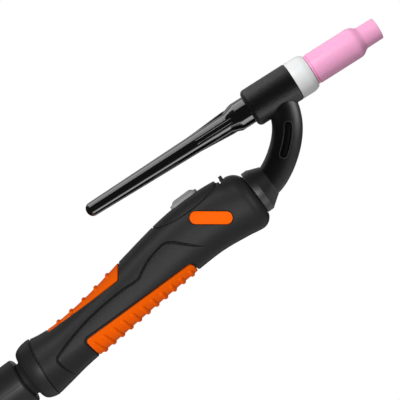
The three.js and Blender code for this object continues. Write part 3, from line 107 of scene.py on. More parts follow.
class TorchSizes(bpy.types.PropertyGroup):
    wall: length("Shell wall", "Thickness of the handle shells", 3)
    line_groove: length("Side line", "Half width of the curved groove on each side", 0.72)
    seam_groove: length("Seam chamfer", "Radius of the bevelled joints between pieces", 0.55)
    rib_height: length("Rib height", "How far the grips' ribs stand out", 1.1)
    upper_rib: length("Upper rib width", "Width of a rib on the upper grip", 2.4)
    lower_rib: length("Lower rib width", "Width of a rib on the lower grip", 2.9)
    ring_radius: length("Rear ring radius", "Outer radius of the rear ring", 18.9)
    sleeve_radius: length("Sleeve radius", "Outer radius of the cable sleeve", 15.3)
    collar_radius: length("Collar radius", "Outer radius of the neck collar", 14.1)
    neck_radius: length("Neck radius", "Outer radius of the rubber neck", 9.3)
    head_radius: length("Head radius", "Outer radius of the head", 12.1)
    nozzle_radius: length("Nozzle radius", "Outer radius of the ceramic nozzle", 9.8)
    tip_radius: length("Nozzle tip radius", "Outer radius of the nozzle's narrow front", 6.9)
    cap_collar: length("Cap collar radius", "Outer radius of the back cap's collar", 9.3)
    screw_head: length("Screw head radius", "Radius of the handle screws' heads", 2.7)


class TorchColours(bpy.types.PropertyGroup):
    black: colour("Handle black", "Moulded plastic of the shells", "#1d1d1e")
    satin: colour("Satin black", "Plastic of the rear ring, ball and sleeve", "#202021")
    rubber: colour("Rubber black", "Rubber of the neck and head", "#0f0f10")
    orange: colour("Grip orange", "Rubber of the two grips", "#ff6400")
    badge: colour("Badge orange", "Plastic of the badge", "#ff6400")
    grey: colour("Button grey", "Plastic of the push button", "#a2a2a2")
    gloss: colour("Cap black", "Glossy plastic of the back cap", "#050506")
    white: colour("Insulator white", "Plastic of the insulator ring", "#e6e8e8")
    pink: colour("Ceramic pink", "Glaze of the nozzle", "#fcaed7")


def size(name):
    """A size of the torch in millimetres."""
    return getattr(bpy.context.scene.torch_sizes, name) * 1000


def shade(name):
    return (*getattr(bpy.context.scene.torch_colours, name), 1)


# ------------------------------------------------------------------ node trees
class Wire:
    """An output socket whose maths is written with operators."""

    def __init__(self, sheet, socket):
        self.sheet, self.socket = sheet, socket

    def done(self, operation, first, second=0.0):
        return self.sheet.add("ShaderNodeMath", {"operation": operation}, {0: first, 1: second})

    def __add__(self, other):
        return self.done("ADD", self, other)

    __radd__ = __add__

    def __sub__(self, other):
        return self.done("SUBTRACT", self, other)

    def __rsub__(self, other):
        return self.done("SUBTRACT", other, self)

    def __mul__(self, other):
        return self.done("MULTIPLY", self, other)

    __rmul__ = __mul__

    def __truediv__(self, other):
        return self.done("DIVIDE", self, other)

    def __abs__(self):
        return self.done("ABSOLUTE", self)

    def __pow__(self, other):
        return self.done("POWER", self, other)

    def least(self, other):
        return self.done("MINIMUM", self, other)

    def most(self, other):
        return self.done("MAXIMUM", self, other)

    def rounded(self):
        return self.done("ROUND", self)

    def between(self, low, high):
        """Eases from 0 at low to 1 at high."""
        settings = {"interpolation_type": "SMOOTHSTEP"}
        return self.sheet.add("ShaderNodeMapRange", settings, {0: self, 1: low, 2: high})


class Sheet:
    """A node tree, and the one way in which nodes are added to it."""

    def __init__(self, tree):
        self.tree = tree

    def node(self, kind, settings=None, sockets=None):
        node = self.tree.nodes.new(kind)
        for key, value in (settings or {}).items():
            setattr(node, key, value)
        for key, value in (sockets or {}).items():
            if isinstance(value, Wire):
                self.tree.links.new(value.socket, node.inputs[key])
            else:
                node.inputs[key].default_value = value
        return node

    def add(self, kind, settings=None, sockets=None, output=0):
        return Wire(self, self.node(kind, settings, sockets).outputs[output])


def fresh_sheet(owner):
    """The emptied node tree of a material or a world."""
    owner.use_nodes = True
    owner.node_tree.nodes.clear()
    return Sheet(owner.node_tree)


def mixed(sheet, share, first, second):
    """A colour between two, by a share."""
    return sheet.add("ShaderNodeMix", {"data_type": "RGBA"}, {0: share, 6: first, 7: second}, 2)


def tone(base, factor):
    """A colour made darker or paler."""
    return (*[min(part * factor, 1.0) for part in base[:3]], 1)


def made_material(name, base, roughness, **more):
    """A procedural finish: mottled colour, fine grain, uneven gloss and paler worn edges."""
    found = bpy.data.materials.get(name)
    if found:
        return found
    look = dict(
        metallic=0.0, specular=0.5, grain=2600.0, grain_depth=0.00002, mottle=0.06, patch=60.0,
        uneven=0.06, wear=0.25, worn=1.7, coat=0.0, sheen=0.0, stretch=(1, 1, 1), speckle=0.0,
        subsurface=0.0, wave=0.0,
    )
    look.update(more)
    material = bpy.data.materials.new(name)
    sheet = fresh_sheet(material)
    spot = sheet.add("ShaderNodeTexCoord", output="Object")
    spot = sheet.add("ShaderNodeMapping", None, {"Vector": spot, "Scale": look["stretch"]})
    fine, broad = [sheet.add("ShaderNodeTexNoise", None, {
        "Vector": spot, "Scale": look[scale], "Detail": detail, "Roughness": rough,
    }) for scale, detail, rough in (("grain", 3.0, 0.6), ("patch", 2.0, 0.5))]
    low, high = tone(base, 1 - look["mottle"]), tone(base, 1 + look["mottle"])
    paint = mixed(sheet, (0.65 * broad + 0.35 * fine).between(0.3, 0.7), low, high)
    if look["speckle"]:
        dots = sheet.add("ShaderNodeTexVoronoi", None, {"Vector": spot, "Scale": look["speckle"]})
        paint = mixed(sheet, (1 - dots.between(0.08, 0.2)) * 0.35, paint, tone(base, 0.7))
    edge = sheet.add("ShaderNodeNewGeometry", output="Pointiness").between(0.51, 0.6)
    paint = mixed(sheet, edge * look["wear"] * (0.4 + fine), paint, tone(base, look["worn"]))
    rough = roughness + (broad - 0.5) * look["uneven"] + (fine - 0.5) * look["uneven"]
    height = fine
    if look["wave"]:
        settings = {"wave_type": "BANDS", "bands_direction": "X"}
        height = fine * 0.4 + sheet.add("ShaderNodeTexWave", settings, {
            "Vector": spot, "Scale": look["wave"], "Distortion": 1.5,
        })
    bump = sheet.add("ShaderNodeBump", None, {
        "Height": height, "Strength": 0.7, "Distance": look["grain_depth"],
    })
    skin = sheet.add("ShaderNodeBsdfPrincipled", None, {
        "Base Color": paint, "Roughness": rough, "Metallic": look["metallic"],
        "Specular IOR Level": look["specular"], "Coat Weight": look["coat"],
        "Coat Roughness": 0.08, "Sheen Weight": look["sheen"], "Sheen Roughness": 0.5,
        "Subsurface Weight": look["subsurface"], "Subsurface Scale": 0.002, "Normal": bump,
    })
    sheet.node("ShaderNodeOutputMaterial", None, {"Surface": skin})
    return material


FINISHES = {  # title, colour, roughness, and what differs from the plain look
    "black": ("Moulded Black", "black", 0.46, dict(
        specular=0.15, grain=1300, grain_depth=0.00014)),
    "satin": ("Satin Black", "satin", 0.46, dict(specular=0.2, grain=1600, grain_depth=0.00004)),
    # The plate's floor is the neck rubber painted at about a third of its brightness: painted shade
    # in the recess.
    "plate": ("Plate Rubber", "rubber", 0.3, dict(
        times=0.35, specular=0.4, grain=1800, grain_depth=0.00004, mottle=0.15)),
    # The plate's rim is the neck rubber painted twenty times paler: a painted highlight of light
    # catching its edge.
    "rim": ("Plate Rim", "rubber", 0.3, dict(times=20, specular=0.6, wear=0.1)),
    "hide": ("Grained Rubber", "rubber", 0.4, dict(
        specular=0.5, grain=950, grain_depth=0.0004, mottle=0.1, sheen=0.05)),
    "rubber": ("Neck Rubber", "rubber", 0.42, dict(
        specular=0.5, grain=1050, grain_depth=0.0001, mottle=0.1, sheen=0.05)),
    "orange": ("Grip Orange", "orange", 0.7, dict(
        specular=0.05, grain=2000, grain_depth=0.00002, wear=0.1, worn=1.15, mottle=0.04)),
    "badge": ("Badge Orange", "badge", 0.5, dict(specular=0.06, grain=3000, wear=0.1, worn=1.1)),
    "grey": ("Button Grey", "grey", 0.5, dict(specular=0.35, wear=0.2, worn=1.2)),
    "gloss": ("Gloss Black", "gloss", 0.11, dict(
        specular=0.9, coat=0.7, grain=900, grain_depth=0.0000002, mottle=0.15, uneven=0.01,
        wear=0.2, worn=3)),
    "white": ("Insulator White", "white", 0.36, dict(
        specular=0.4, mottle=0.02, wear=0.1, worn=0.9, subsurface=0.1)),
    "pink": ("Pink Ceramic", "pink", 0.38, dict(
        specular=0.4, grain=1800, grain_depth=0.00001, mottle=0.03, speckle=1400, wear=0.15,
        worn=1.1, subsurface=0.08)),
    "inner": ("Inner Plastic", "#2a2a2b", 0.6, {}),
    "board": ("Circuit Board", "#1f6b3a", 0.4, dict(coat=0.4, mottle=0.12, grain=900)),
    "lead": ("Lead Cover", "#a83226", 0.45, dict(mottle=0.06, grain=1200)),
    "seal": ("Seal Rubber", "#3a1c18", 0.6, dict(mottle=0.1, grain=1600)),
    "brass": ("Turned Brass", "#c8a24a", 0.3, dict(metallic=1.0, wave=900, worn=1.2)),
    "copper": ("Drawn Copper", "#b87040", 0.32, dict(
        metallic=1.0, mottle=0.12, worn=1.2, stretch=(0.2, 1, 1))),
    "steel": ("Plated Steel", "#9a9da0", 0.32, dict(metallic=1.0, worn=1.2)),
    "tungsten": ("Ground Tungsten", "#8a8c90", 0.38, dict(metallic=1.0, wave=1500, worn=1.2)),
}


def finish(kind):
    """The material of each kind of surface on the torch."""
    title, paint, roughness, more = FINISHES[kind]
    look = dict(more)
    # times paints a finish paler or darker: the plate's rim takes a painted highlight, its floor
    # painted shade.
    times = look.pop("times", 1)
    base = (*linear(paint), 1) if paint.startswith("#") else tone(shade(paint), times)
    return made_material(title, base, roughness, **look)


# ------------------------------------------------------------------ meshes
def placed(name, data):
    """A new object in the scene."""
    made = bpy.data.objects.new(name, data)
    bpy.context.scene.collection.objects.link(made)
    return made


def piece(name, points, faces):
    """A mesh object from points in millimetres."""
    mesh = bpy.data.meshes.new(name)
    mesh.from_pydata([tuple(value / 1000 for value in point) for point in points], [], faces)
    return cleaned(placed(name, mesh))


def cleaned(made, gaps=(1e-6, 2e-7, 4e-8, 0)):
    """Merges double points until the mesh is closed, and turns its faces outwards."""
    for gap in gaps:
        work = bmesh.new()
        work.from_mesh(made.data)
        if gap:
            bmesh.ops.remove_doubles(work, verts=work.verts, dist=gap)
        loose = [vert for vert in work.verts if not vert.link_faces]
        bmesh.ops.delete(work, geom=loose, context="VERTS")
        bmesh.ops.recalc_face_normals(work, faces=work.faces)
        opened = sum(not edge.is_manifold for edge in work.edges)
        if not opened and work.faces:
            if work.calc_volume(signed=True) < 0:
                bmesh.ops.reverse_faces(work, faces=work.faces)
            work.to_mesh(made.data)
            work.free()
            return made
        work.free()
    raise RuntimeError(f"{made.name} has {opened} open edges")


def flattened(made):
    """Turns what a piece's modifiers make into its own mesh."""
    graph = bpy.context.evaluated_depsgraph_get()
    mesh = bpy.data.meshes.new_from_object(made.evaluated_get(graph))
    made.modifiers.clear()
    old, made.data = made.data, mesh
    bpy.data.meshes.remove(old)
    return made


def carved(made, tools, operation="DIFFERENCE", keep=False):
    """Cuts a piece with closed tools, or joins or intersects it with them."""
    for tool in tools:
        step = made.modifiers.new("Shape", "BOOLEAN")
        step.operation, step.solver, step.object = operation, "MANIFOLD", tool
    flattened(made)
    if not made.data.polygons:
        raise RuntimeError(f"nothing is left of {made.name}")
    if not keep:
        for tool in tools:
            bpy.data.objects.remove(tool)
    return made


def copied(made, name):
    return placed(name, made.data.copy())


LAMPS = {  # the studio lamps that light each kind of surface
    "black": ("Front Box", "Handle Top", "Side Box"),
    "satin": ("Rear Box",),
    "orange": ("Grip Box",),
    "badge": ("Grip Box", "Side Box"),
    "grey": ("Grip Box",),
    "steel": ("Grip Box",),
    "rubber": ("Top Strip", "Under Strip"),
    "hide": ("Top Strip", "Under Strip"),
    "gloss": ("Top Strip", "Top Edge", "Under Strip", "Under Edge"),
    "neck": ("Neck Fill", "Neck Left"),
    "collar": ("Front Box", "Grip Box", "Under Strip"),
    "white": ("Nozzle Key",),
    "pink": ("Nozzle Key",),
}


def settled(made, kind, nodes, body=None, sharp=30, lit=None):
    """Gives a piece its shading, material, studio lamps and place on the torch."""
    for title in LAMPS.get(lit or kind, ()):
        bpy.data.collections[title].objects.link(made)
    cleaned(made)
    made.data.shade_smooth()
    made.data.set_sharp_from_angle(angle=math.radians(sharp))
    made.data.materials.clear()
    made.data.materials.append(finish(kind))
    if nodes:
        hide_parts(*nodes)
    if body:
        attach(made, body)
    return made


ARC_STEP = 11  # degrees


def softened(corners):
    """An outline whose corners (x, radius, rounding) are replaced by arcs."""
    done = []
    for i, corner in enumerate(corners):
        at = Vector(corner[:2])
        rounding = corner[2] if len(corner) > 2 else 0
        if not rounding:
            done.append(at)
            continue
        back = Vector(corners[i - 1][:2]) - at
        ahead = Vector(corners[(i + 1) % len(corners)][:2]) - at
        inside = back.angle(ahead)
        reach = min(rounding / math.tan(inside / 2), 0.49 * back.length, 0.49 * ahead.length)
        start, end = at + back.normalized() * reach, at + ahead.normalized() * reach
        weight = math.sin(inside / 2)
        steps = max(2, math.ceil(math.degrees(math.pi - inside) / ARC_STEP))
        for k in range(steps + 1):
            t = k / steps
            a, b, c = (1 - t) ** 2, 2 * weight * t * (1 - t), t * t
            done.append((start * a + at * b + end * c) / (a + b + c))
    return done


def on_axis(x, y, z):
    return x, y, z


HEAD_X, HEAD_Z, HEAD_TILT = 153.6, 48.5, math.radians(4.1)  # where the head's front is


def on_head(s, y, w):
    """A point given along the head's own axis, in the row frame."""
    c, n = math.cos(HEAD_TILT), math.sin(HEAD_TILT)
    return HEAD_X + s * c + w * n, y, HEAD_Z - s * n + w * c


def walled(loops):
    """Faces from each loop of point numbers to the next; a loop may be one point throughout."""
    faces = []
    for low, high in zip(loops, loops[1:]):
        for k in range(len(low)):
            j = (k + 1) % len(low)
            face = tuple(dict.fromkeys((low[k], low[j], high[j], high[k])))
            if len(face) > 2:
                faces.append(face)
    return faces


def turned(name, corners, place=on_axis, sides=96):
    """A closed outline of (x, radius, rounding) turned about the X axis and then placed."""
    points, rings = [], []
    for x, radius in softened(corners):
        if radius < 1e-6:
            rings.append([len(points)] * sides)
            points.append(place(x, 0, 0))
            continue
        rings.append(range(len(points), len(points) + sides))
        points += [place(x, radius * math.cos(a), radius * math.sin(a)) for a in full_turn(sides)]
    return piece(name, points, walled([*rings, rings[0]]))


def rod(name, start, end, radius, place=on_axis, sides=64):
    return turned(name, [(start, 0), (start, radius), (end, radius), (end, 0)], place, sides)


def block(name, low, high):
    faces = [(0, 1, 3, 2), (4, 6, 7, 5), (0, 4, 5, 1), (2, 3, 7, 6), (0, 2, 6, 4), (1, 5, 7, 3)]
    return piece(name, list(product(*zip(low, high))), faces)


def lofted(name, rings, closed=False):
    """Rings of points joined into one closed skin, with its ends filled unless it runs round."""
    sides = len(rings[0])
    loops = [range(i * sides, (i + 1) * sides) for i in range(len(rings))]
    faces = walled([*loops, loops[0]]) if closed else [*walled(loops), loops[0], loops[-1]]
    return piece(name, [point for ring in rings for point in ring], faces)


def disc(radius, sides=12):
    return [(radius * math.cos(a), radius * math.sin(a)) for a in full_turn(sides)]


def swept(name, path, ups, outline, closed=False, scales=None):
    """An outline of (across, up) swept along a path, with the up direction given at each point."""
    rings, count = [], len(path)
    for i, point in enumerate(path):
        before = path[i - 1] if i or closed else point
        after = path[(i + 1) % count] if i + 1 < count or closed else point
        along = (after - before).normalized()
        across = along.cross(ups[i]).normalized()
        up = across.cross(along)
        wide = scales[i] if scales else 1
        rings.append([point + (across * a + up * b) * wide for a, b in outline])
    return lofted(name, rings, closed)


def smooth_line(points, steps, pace=0.0):
    """A Catmull-Rom line through points of any dimension; a pace of 0.5 makes it centripetal."""
    first, second, *_, fore, last = points
    ends, line = [first * 2 - second, *points, last * 2 - fore], []
    for p0, p1, p2, p3 in zip(ends, ends[1:], ends[2:], ends[3:]):
        d0, d1, d2 = [(b - a).length ** pace for a, b in ((p0, p1), (p1, p2), (p2, p3))]
        out = ((p1 - p0) / d0 - (p2 - p0) / (d0 + d1) + (p2 - p1) / d1) * d1
        into = ((p2 - p1) / d1 - (p3 - p1) / (d1 + d2) + (p3 - p2) / d2) * d1
        for k in range(steps):
            t = k / steps
            line.append(p1 + out * t + (3 * (p2 - p1) - 2 * out - into) * t ** 2
                        + (2 * (p1 - p2) + out + into) * t ** 3)
    return [*line, last]


def grid_lines(reach, cell):
    count = max(2, round(reach / cell))
    return [reach * k / count for k in range(count + 1)]


def panel(name, place, reach, width, corner, layers, cell, cell_across=None):
    """A closed plate with rounded corners whose rim steps through layers of (inset, height)."""
    along, across = grid_lines(reach, cell), grid_lines(width, cell_across or cell)

    def spot(i, j, layer):
        inset, height = layer
        p = inset + along[i] * (reach - 2 * inset) / reach
        q = inset + across[j] * (width - 2 * inset) / width
        a, b = min(p, reach - p), min(q, width - q)
        near, apart = min(a, b), abs(a - b)
        bend = corner - near
        if apart < bend:
            lean = math.pi / 4 * (1 - apart / bend)
            short, long = near + bend * (1 - math.cos(lean)), near + bend * (1 - math.sin(lean))
            a, b = (short, long) if a <= b else (long, short)
            p = a if p <= reach / 2 else reach - a
            q = b if q <= width / 2 else width - b
        return place(p, q, height)

    rows, columns = len(along), len(across)
    rim = [(i, 0) for i in range(rows)] + [(rows - 1, j) for j in range(1, columns)]
    rim += [(i, columns - 1) for i in range(rows - 2, -1, -1)]
    rim += [(0, j) for j in range(columns - 2, 0, -1)]
    points, faces, loops = [], [], []
    for layer in (layers[0], layers[-1]):
        first = len(points)
        points += [spot(i, j, layer) for i in range(rows) for j in range(columns)]
        for i in range(rows - 1):
            for j in range(columns - 1):
                k = first + i * columns + j
                faces.append((k, k + 1, k + columns + 1, k + columns))
        loops.append([first + i * columns + j for i, j in rim])
    for layer in layers[1:-1]:
        loops.insert(-1, range(len(points), len(points) + len(rim)))
        points += [spot(i, j, layer) for i, j in rim]
    return piece(name, points, faces + walled(loops))


def rounded_rim(depth, rounding, steps=4):
    """Layers of a plate's rim from its underside up round its edge."""
    return [(0.0, -depth)] + [
        (rounding * (1 - math.cos(a)), -rounding * (1 - math.sin(a))) for a in quarter_turn(steps)]


def cut_rim(depth, flare, above=0.6):
    """Layers of a recess with a bevelled lip, as a cutting tool."""
    return [(0.0, -depth), (0.0, -flare), (-flare - above, above)]


# ------------------------------------------------------------------ the handle's surface
STATIONS = (  # x, top, bottom, half width, fullness
    (-68, 18.8, -18.6, 18.7, 2.0),
    (-58, 17.0, -17.1, 17.0, 2.1),
    (-46, 16.5, -15.3, 15.8, 2.3),
    (-20, 19.0, -13.1, 15.5, 2.5),
    (10, 24.6, -10.6, 15.7, 2.5),
    (40, 29.4, -8.7, 16.4, 2.5),
    (60, 30.4, -8.2, 16.8, 2.5),
    (78, 29.2, -10.2, 17.0, 2.4),
    (86, 26.9, -11.6, 17.2, 2.3),
    (95, 25.8, -12.2, 17.4, 2.2),
)
REAR, FRONT = STATIONS[0][0], STATIONS[-1][0]
NOSE_ROUND, NOSE_DEPTH = 8.6, 8.0  # the rounding at its front
SEAM_TILT = math.radians(5)  # of the joint between the shells and the rear ring
TUBE_Z = 8.4  # height of the handle's front bore


def measure(x, column):
    """One measure of the handle at x, eased through its stations."""
    x = held(x, REAR, FRONT)
    last = len(STATIONS) - 1
    i = next((k for k in range(last) if STATIONS[k + 1][0] > x), last - 1)
    a, b = STATIONS[i], STATIONS[i + 1]

    def slope(k):
        before, after = STATIONS[max(k - 1, 0)], STATIONS[min(k + 1, last)]
        return (after[column] - before[column]) / (after[0] - before[0])

    span = b[0] - a[0]
    t = (x - a[0]) / span
    ease = eased(t)
    bend = t * (1 - t) ** 2 * slope(i) - t * t * (1 - t) * slope(i + 1)
    return a[column] * (1 - ease) + b[column] * ease + span * bend


@lru_cache(maxsize=None)
def section(x, offset):
    """Middle height, half height, half width and fullness of the handle at x."""
    into = held(x - (FRONT + min(offset, 0) - NOSE_DEPTH), 0, NOSE_DEPTH)
    closing = NOSE_ROUND - math.sqrt(NOSE_ROUND ** 2 - into ** 2)
    top = measure(x, 1) + offset - closing
    bottom = measure(x, 2) - offset + closing
    return (top + bottom) / 2, (top - bottom) / 2, measure(x, 3) + offset - closing, measure(x, 4)


def skin_point(x, turn, offset=0.0):
    middle, high, half, full = section(x, offset)
    c, s = math.cos(turn), math.sin(turn)
    reach = ((abs(c) / half) ** full + (abs(s) / high) ** full) ** (-1 / full)
    return Vector((x, reach * c, middle + reach * s))


def skin_turn(x, z, side):
    """The angle about the handle's middle at which its skin is at height z."""
    middle, high, half, full = section(x, 0.0)
    share = min(abs((z - middle) / high), 1)
    return math.atan2(z - middle, side * half * (1 - share ** full) ** (1 / full))


def skin_normal(x, turn):
    along = skin_point(x + 0.2, turn) - skin_point(x - 0.2, turn)
    round_it = skin_point(x, turn + 0.004) - skin_point(x, turn - 0.004)
    facing = along.cross(round_it).normalized()
    return facing if facing.dot((0, math.cos(turn), math.sin(turn))) > 0 else -facing


def side_point(x, z, side, lift=0.0):
    """A point on one side of the handle, seen from that side at (x, z)."""
    turn = skin_turn(x, z, side)
    return skin_point(x, turn) + skin_normal(x, turn) * lift


def from_photo(u, v):
    """A place on the near side, measured along and below the handle's axis, as (x, z)."""
    x, z = (u - 110) * PIXEL, (3 - v) * PIXEL
    return Vector((CAMERA_X + (x - CAMERA_X) / NEARER, CAMERA_Z + (z - CAMERA_Z) / NEARER))


SIDE_LINE = smooth_line([from_photo(u, v) for u, v in (
    (15.5, 29), (13.6, 23), (11.7, 17), (10.6, 11), (10.4, 7.5), (11.5, 4.6), (15, 2.8),
    (20, 1), (30, -2), (40, -4.5), (50, -6.7), (60, -8.5), (70, -9.7), (80, -10.8),
    (90, -11.3), (100, -11.8), (110, -11.7), (120, -11.2), (126, -12), (130, -14.2),
    (140, -19), (150, -22), (160, -24), (165, -24.3), (169, -23.5), (175, -19.5), (180, -14.5),
    (190, -4.5), (195, 0), (198, 2),
)], 4)


def raised(x, z):
    """How far the lower panel of the sides stands out beneath the side line."""
    if not SIDE_LINE[0].x - 4 < x < SIDE_LINE[-1].x + 4 or z > 22:
        return 0.0
    at = Vector((x, z))
    away, below = 99.0, False
    for a, b in zip(SIDE_LINE, SIDE_LINE[1:]):
        span = b - a
        t = held((at - a).dot(span) / span.length_squared)
        away = min(away, (at - a - span * t).length)
        if (a.x <= x) != (b.x <= x) and z < a.y + (b.y - a.y) * (x - a.x) / (b.x - a.x):
            below = not below
    fade = held((z + 9) / 9)
    return 0.4 * min(away / 1.1, 1) * fade * fade * (3 - 2 * fade) if below else 0.0


def handle_form(name, offset, step=0.75, sides=176, detail=False):
    """The handle's closed form moved out by offset, longer at the rear than the finished shells."""
    bend = FRONT + min(offset, 0) - NOSE_DEPTH
    count = round((bend - REAR) / step)
    places = [REAR - 8, REAR - 3] + [REAR + (bend - REAR) * k / count for k in range(count)]
    widest = math.asin(NOSE_DEPTH / NOSE_ROUND)
    places += [bend + NOSE_ROUND * math.sin(widest * k / 16) for k in range(17)]
    rings = []
    for x in places:
        ring = []
        for k in range(sides):
            turn = math.tau * (k + 0.5) / sides
            point = skin_point(x, turn, offset)
            if detail:
                point = point + skin_normal(x, turn) * raised(x, point.z)
            ring.append(point)
        rings.append(ring)
    return lofted(name, rings)


def behind_seam(name, gap):
    """Everything behind the slanted joint with the rear ring."""
    tool = block(name, (-2 * FAR, -FAR, -FAR), (gap, FAR, FAR))
    tilt = Matrix.Rotation(SEAM_TILT, 4, "Y")
    tool.data.transform(Matrix.Translation((REAR / 1000, 0, 0)) @ tilt)
    return tool


def seam_ring(name, least, most, shift):
    """The tool that bevels the slanted joint behind the shells, more at the top than below."""
    path, scales, radius = [], [], size("ring_radius") - 0.3
    for a in full_turn(96):
        scales.append(least + (most - least) * (0.5 + 0.5 * math.sin(a)))
        x = REAR + GAP / 2 + radius * math.sin(a) * math.tan(SEAM_TILT) + shift * scales[-1]
        path.append(Vector((x, radius * math.cos(a), radius * math.sin(a))))
    return swept(name, path, [Vector((0, p.y, p.z)) for p in path], disc(1, 16), True, scales)


# ------------------------------------------------------------------ grips
# edges: height of the long edges at the rear and front; half: from an edge to the middle
UPPER_GRIP = dict(rear=-52.8, front=-0.8, edges=(15.7, 15.7), half=26, corner=1.2, over=True)
LOWER_GRIP = dict(rear=-37.4, front=40.5, edges=(-2.1, -3.2), half=31, corner=2.6, over=False)
GRIP_THICKNESS = 1.5
GRIP_STRIP = 3.0  # along each edge, where a grip's points keep their distance from it
UPPER_LEAN = 4.8 / 7.2  # how the upper grip's front end leans forward above its edge
LOWER_LEAN, LOWER_DROP = 1.8, 17.6  # the lower grip's rear end leans so far forward over this drop


def grip_panel(name, grip, spread, layers, cell, cell_across=None):
    """A plate on the handle's skin that wraps over its back or under its belly."""
    rear, front, over = grip["rear"] - spread, grip["front"] + spread, grip["over"]
    sign = 1 if over else -1
    reach, width = front - rear, 2 * grip["half"] + 2 * spread
    side = grip["edges"][0]

    def place(p, q, height):
        x = rear + p
        for _ in range(3):
            share = held((x - rear) / reach)
            edge = side * (1 - share) + grip["edges"][1] * share - sign * spread
            start, end = skin_turn(x, edge, 1), skin_turn(x, edge, -1)
            if not over and end > start:
                end -= math.tau
            first, last = [
                (skin_point(x, turn + 0.02) - skin_point(x, turn - 0.02)).length / 0.04
                for turn in (start, end)]
            if q < GRIP_STRIP:
                turn = start + sign * q / first
            elif q > width - GRIP_STRIP:
                turn = end - sign * (width - q) / last
            else:
                share = (q - GRIP_STRIP) / (width - 2 * GRIP_STRIP)
                low, high = start + sign * GRIP_STRIP / first, end - sign * GRIP_STRIP / last
                turn = low * (1 - share) + high * share
            z = skin_point(x, turn).z
            if over:
                x = rear + p + (UPPER_LEAN * max(z - side, 0)) * p / reach
            else:
                x = rear + p + LOWER_LEAN * held((side - z) / LOWER_DROP) * (1 - p / reach)
        return skin_point(x, turn) + skin_normal(x, turn) * height

    return panel(name, place, reach, width, grip["corner"] + spread, layers, cell, cell_across)


def grown(made, title, kind, values, build):
    """Shapes a piece by a tree of geometry nodes with named inputs, and makes it a plain mesh."""
    tree = bpy.data.node_groups.new(title, "GeometryNodeTree")
    ports = tree.interface
    values = {**values, "Material": finish(kind)}
    families = {bpy.types.Material: "Material", bpy.types.Object: "Object"}
    ports.new_socket("Geometry", in_out="INPUT", socket_type="NodeSocketGeometry")
    for name, value in values.items():
        family = families.get(type(value), "Float")
        ports.new_socket(name, in_out="INPUT", socket_type="NodeSocket" + family)
    ports.new_socket("Geometry", in_out="OUTPUT", socket_type="NodeSocketGeometry")
    sheet = Sheet(tree)
    given = sheet.node("NodeGroupInput")
    wire = {socket.name: Wire(sheet, socket) for socket in given.outputs}
    real = sheet.add("GeometryNodeRealizeInstances", None, {"Geometry": build(sheet, wire)})
    done = sheet.add("GeometryNodeSetMaterial", None, {
        "Geometry": real, "Material": wire["Material"]})
    sheet.node("NodeGroupOutput", None, {0: done})
    step = made.modifiers.new(title, "NODES")
    step.node_group = tree
    for item in ports.items_tree:
        if item.in_out == "INPUT" and item.name in values:
            value = values[item.name]
            step[item.identifier] = float(value) if isinstance(value, (int, float)) else value
    return flattened(made)


def cross_ribs(sheet, wire):
    """Cross ribs with rounded ends, raised along the grip's own normals."""
    place = sheet.node("ShaderNodeSeparateXYZ", None, {0: sheet.add("GeometryNodeInputPosition")})
    x, y, z = [Wire(sheet, output) * 1000 for output in place.outputs]
    last = wire["Count"] - 1
    drop = ((z - wire["Low End"]) / (wire["High End"] - wire["Low End"])).most(0.0).least(1.2)
    guess = ((x - wire["First"]) / wire["Pitch"]).rounded().most(0.0).least(last)
    lean = wire["Slant"] * (1 - guess / last) * drop
    number = ((x + lean - wire["First"]) / wire["Pitch"]).rounded().most(0.0).least(last)
    middle = wire["First"] + number * wire["Pitch"] - lean
    half = wire["Width"] * 0.5
    past = (z - (wire["High End"] - half)).most(abs(y) - (wire["Reach"] - half)).most(0.0)
    away = ((x - middle) ** 2.0 + past * past) ** 0.5
    dome = (1 - (away / half).least(1.0) ** 2.4) ** 0.6
    free = sheet.add("GeometryNodeInputNamedAttribute", None, {"Name": "free"})
    rise = dome * wire["Height"] * free * 0.001
    facing = sheet.add("GeometryNodeInputNormal")
    shift = sheet.add("ShaderNodeVectorMath", {"operation": "SCALE"}, {0: facing, 3: rise})
    return sheet.add("GeometryNodeSetPosition", None, {
        "Geometry": wire["Geometry"], "Offset": shift})


def on_points(sheet, wire):
    """The same piece set at every point."""
    pattern = sheet.add("GeometryNodeObjectInfo", None, {"Object": wire["Pattern"]}, "Geometry")
    return sheet.add("GeometryNodeInstanceOnPoints", None, {
        "Points": wire["Geometry"], "Instance": pattern})


def along_line(sheet, wire):
    """A round skin about a line whose points hold its radius."""
    line = sheet.add("GeometryNodeMeshToCurve", None, {"Mesh": wire["Geometry"]})
    radius = sheet.add("GeometryNodeInputNamedAttribute", None, {"Name": "wide"})
    circle = sheet.add("GeometryNodeCurvePrimitiveCircle", None, {"Resolution": 80, "Radius": 1.0})
    return sheet.add("GeometryNodeCurveToMesh", None, {
        "Curve": line, "Profile Curve": circle, "Scale": radius * wire["Share"], "Fill Caps": True})


def marks(name, points, wide=None):
    """An object that holds only points, or a line of points with a radius each."""
    mesh = bpy.data.meshes.new(name)
    edges = [(k, k + 1) for k in range(len(points) - 1)] if wide else []
    mesh.from_pydata([tuple(Vector(point) / 1000) for point in points], edges, [])
    if wide:
        store = mesh.attributes.new("wide", "FLOAT", "POINT")
        store.data.foreach_set("value", [value / 1000 for value in wide])
    return placed(name, mesh)


def mark_free(made, grip):
    """Stores how free of the rim each point of a grip's outer face is, from 0 to 1."""
    mesh = made.data
    store = mesh.attributes.new("free", "FLOAT", "POINT")
    over = grip["over"]
    for vert, item in zip(mesh.vertices, store.data):
        x, y, z = vert.co * 1000
        turn = math.atan2(z - section(x, 0.0)[0], y)
        outer = (Vector((x, y, z)) - skin_point(x, turn)).dot(skin_normal(x, turn)) > -0.4
        above = z - grip["edges"][0]
        front = grip["front"] + (UPPER_LEAN * max(above, 0) if over else 0)
        ends = min(x - grip["rear"] - LOWER_LEAN * (not over), front - x)
        edge = above if over else 9
        item.value = eased(held(min(ends, edge + 0.6) / 0.8)) if outer else 0.0


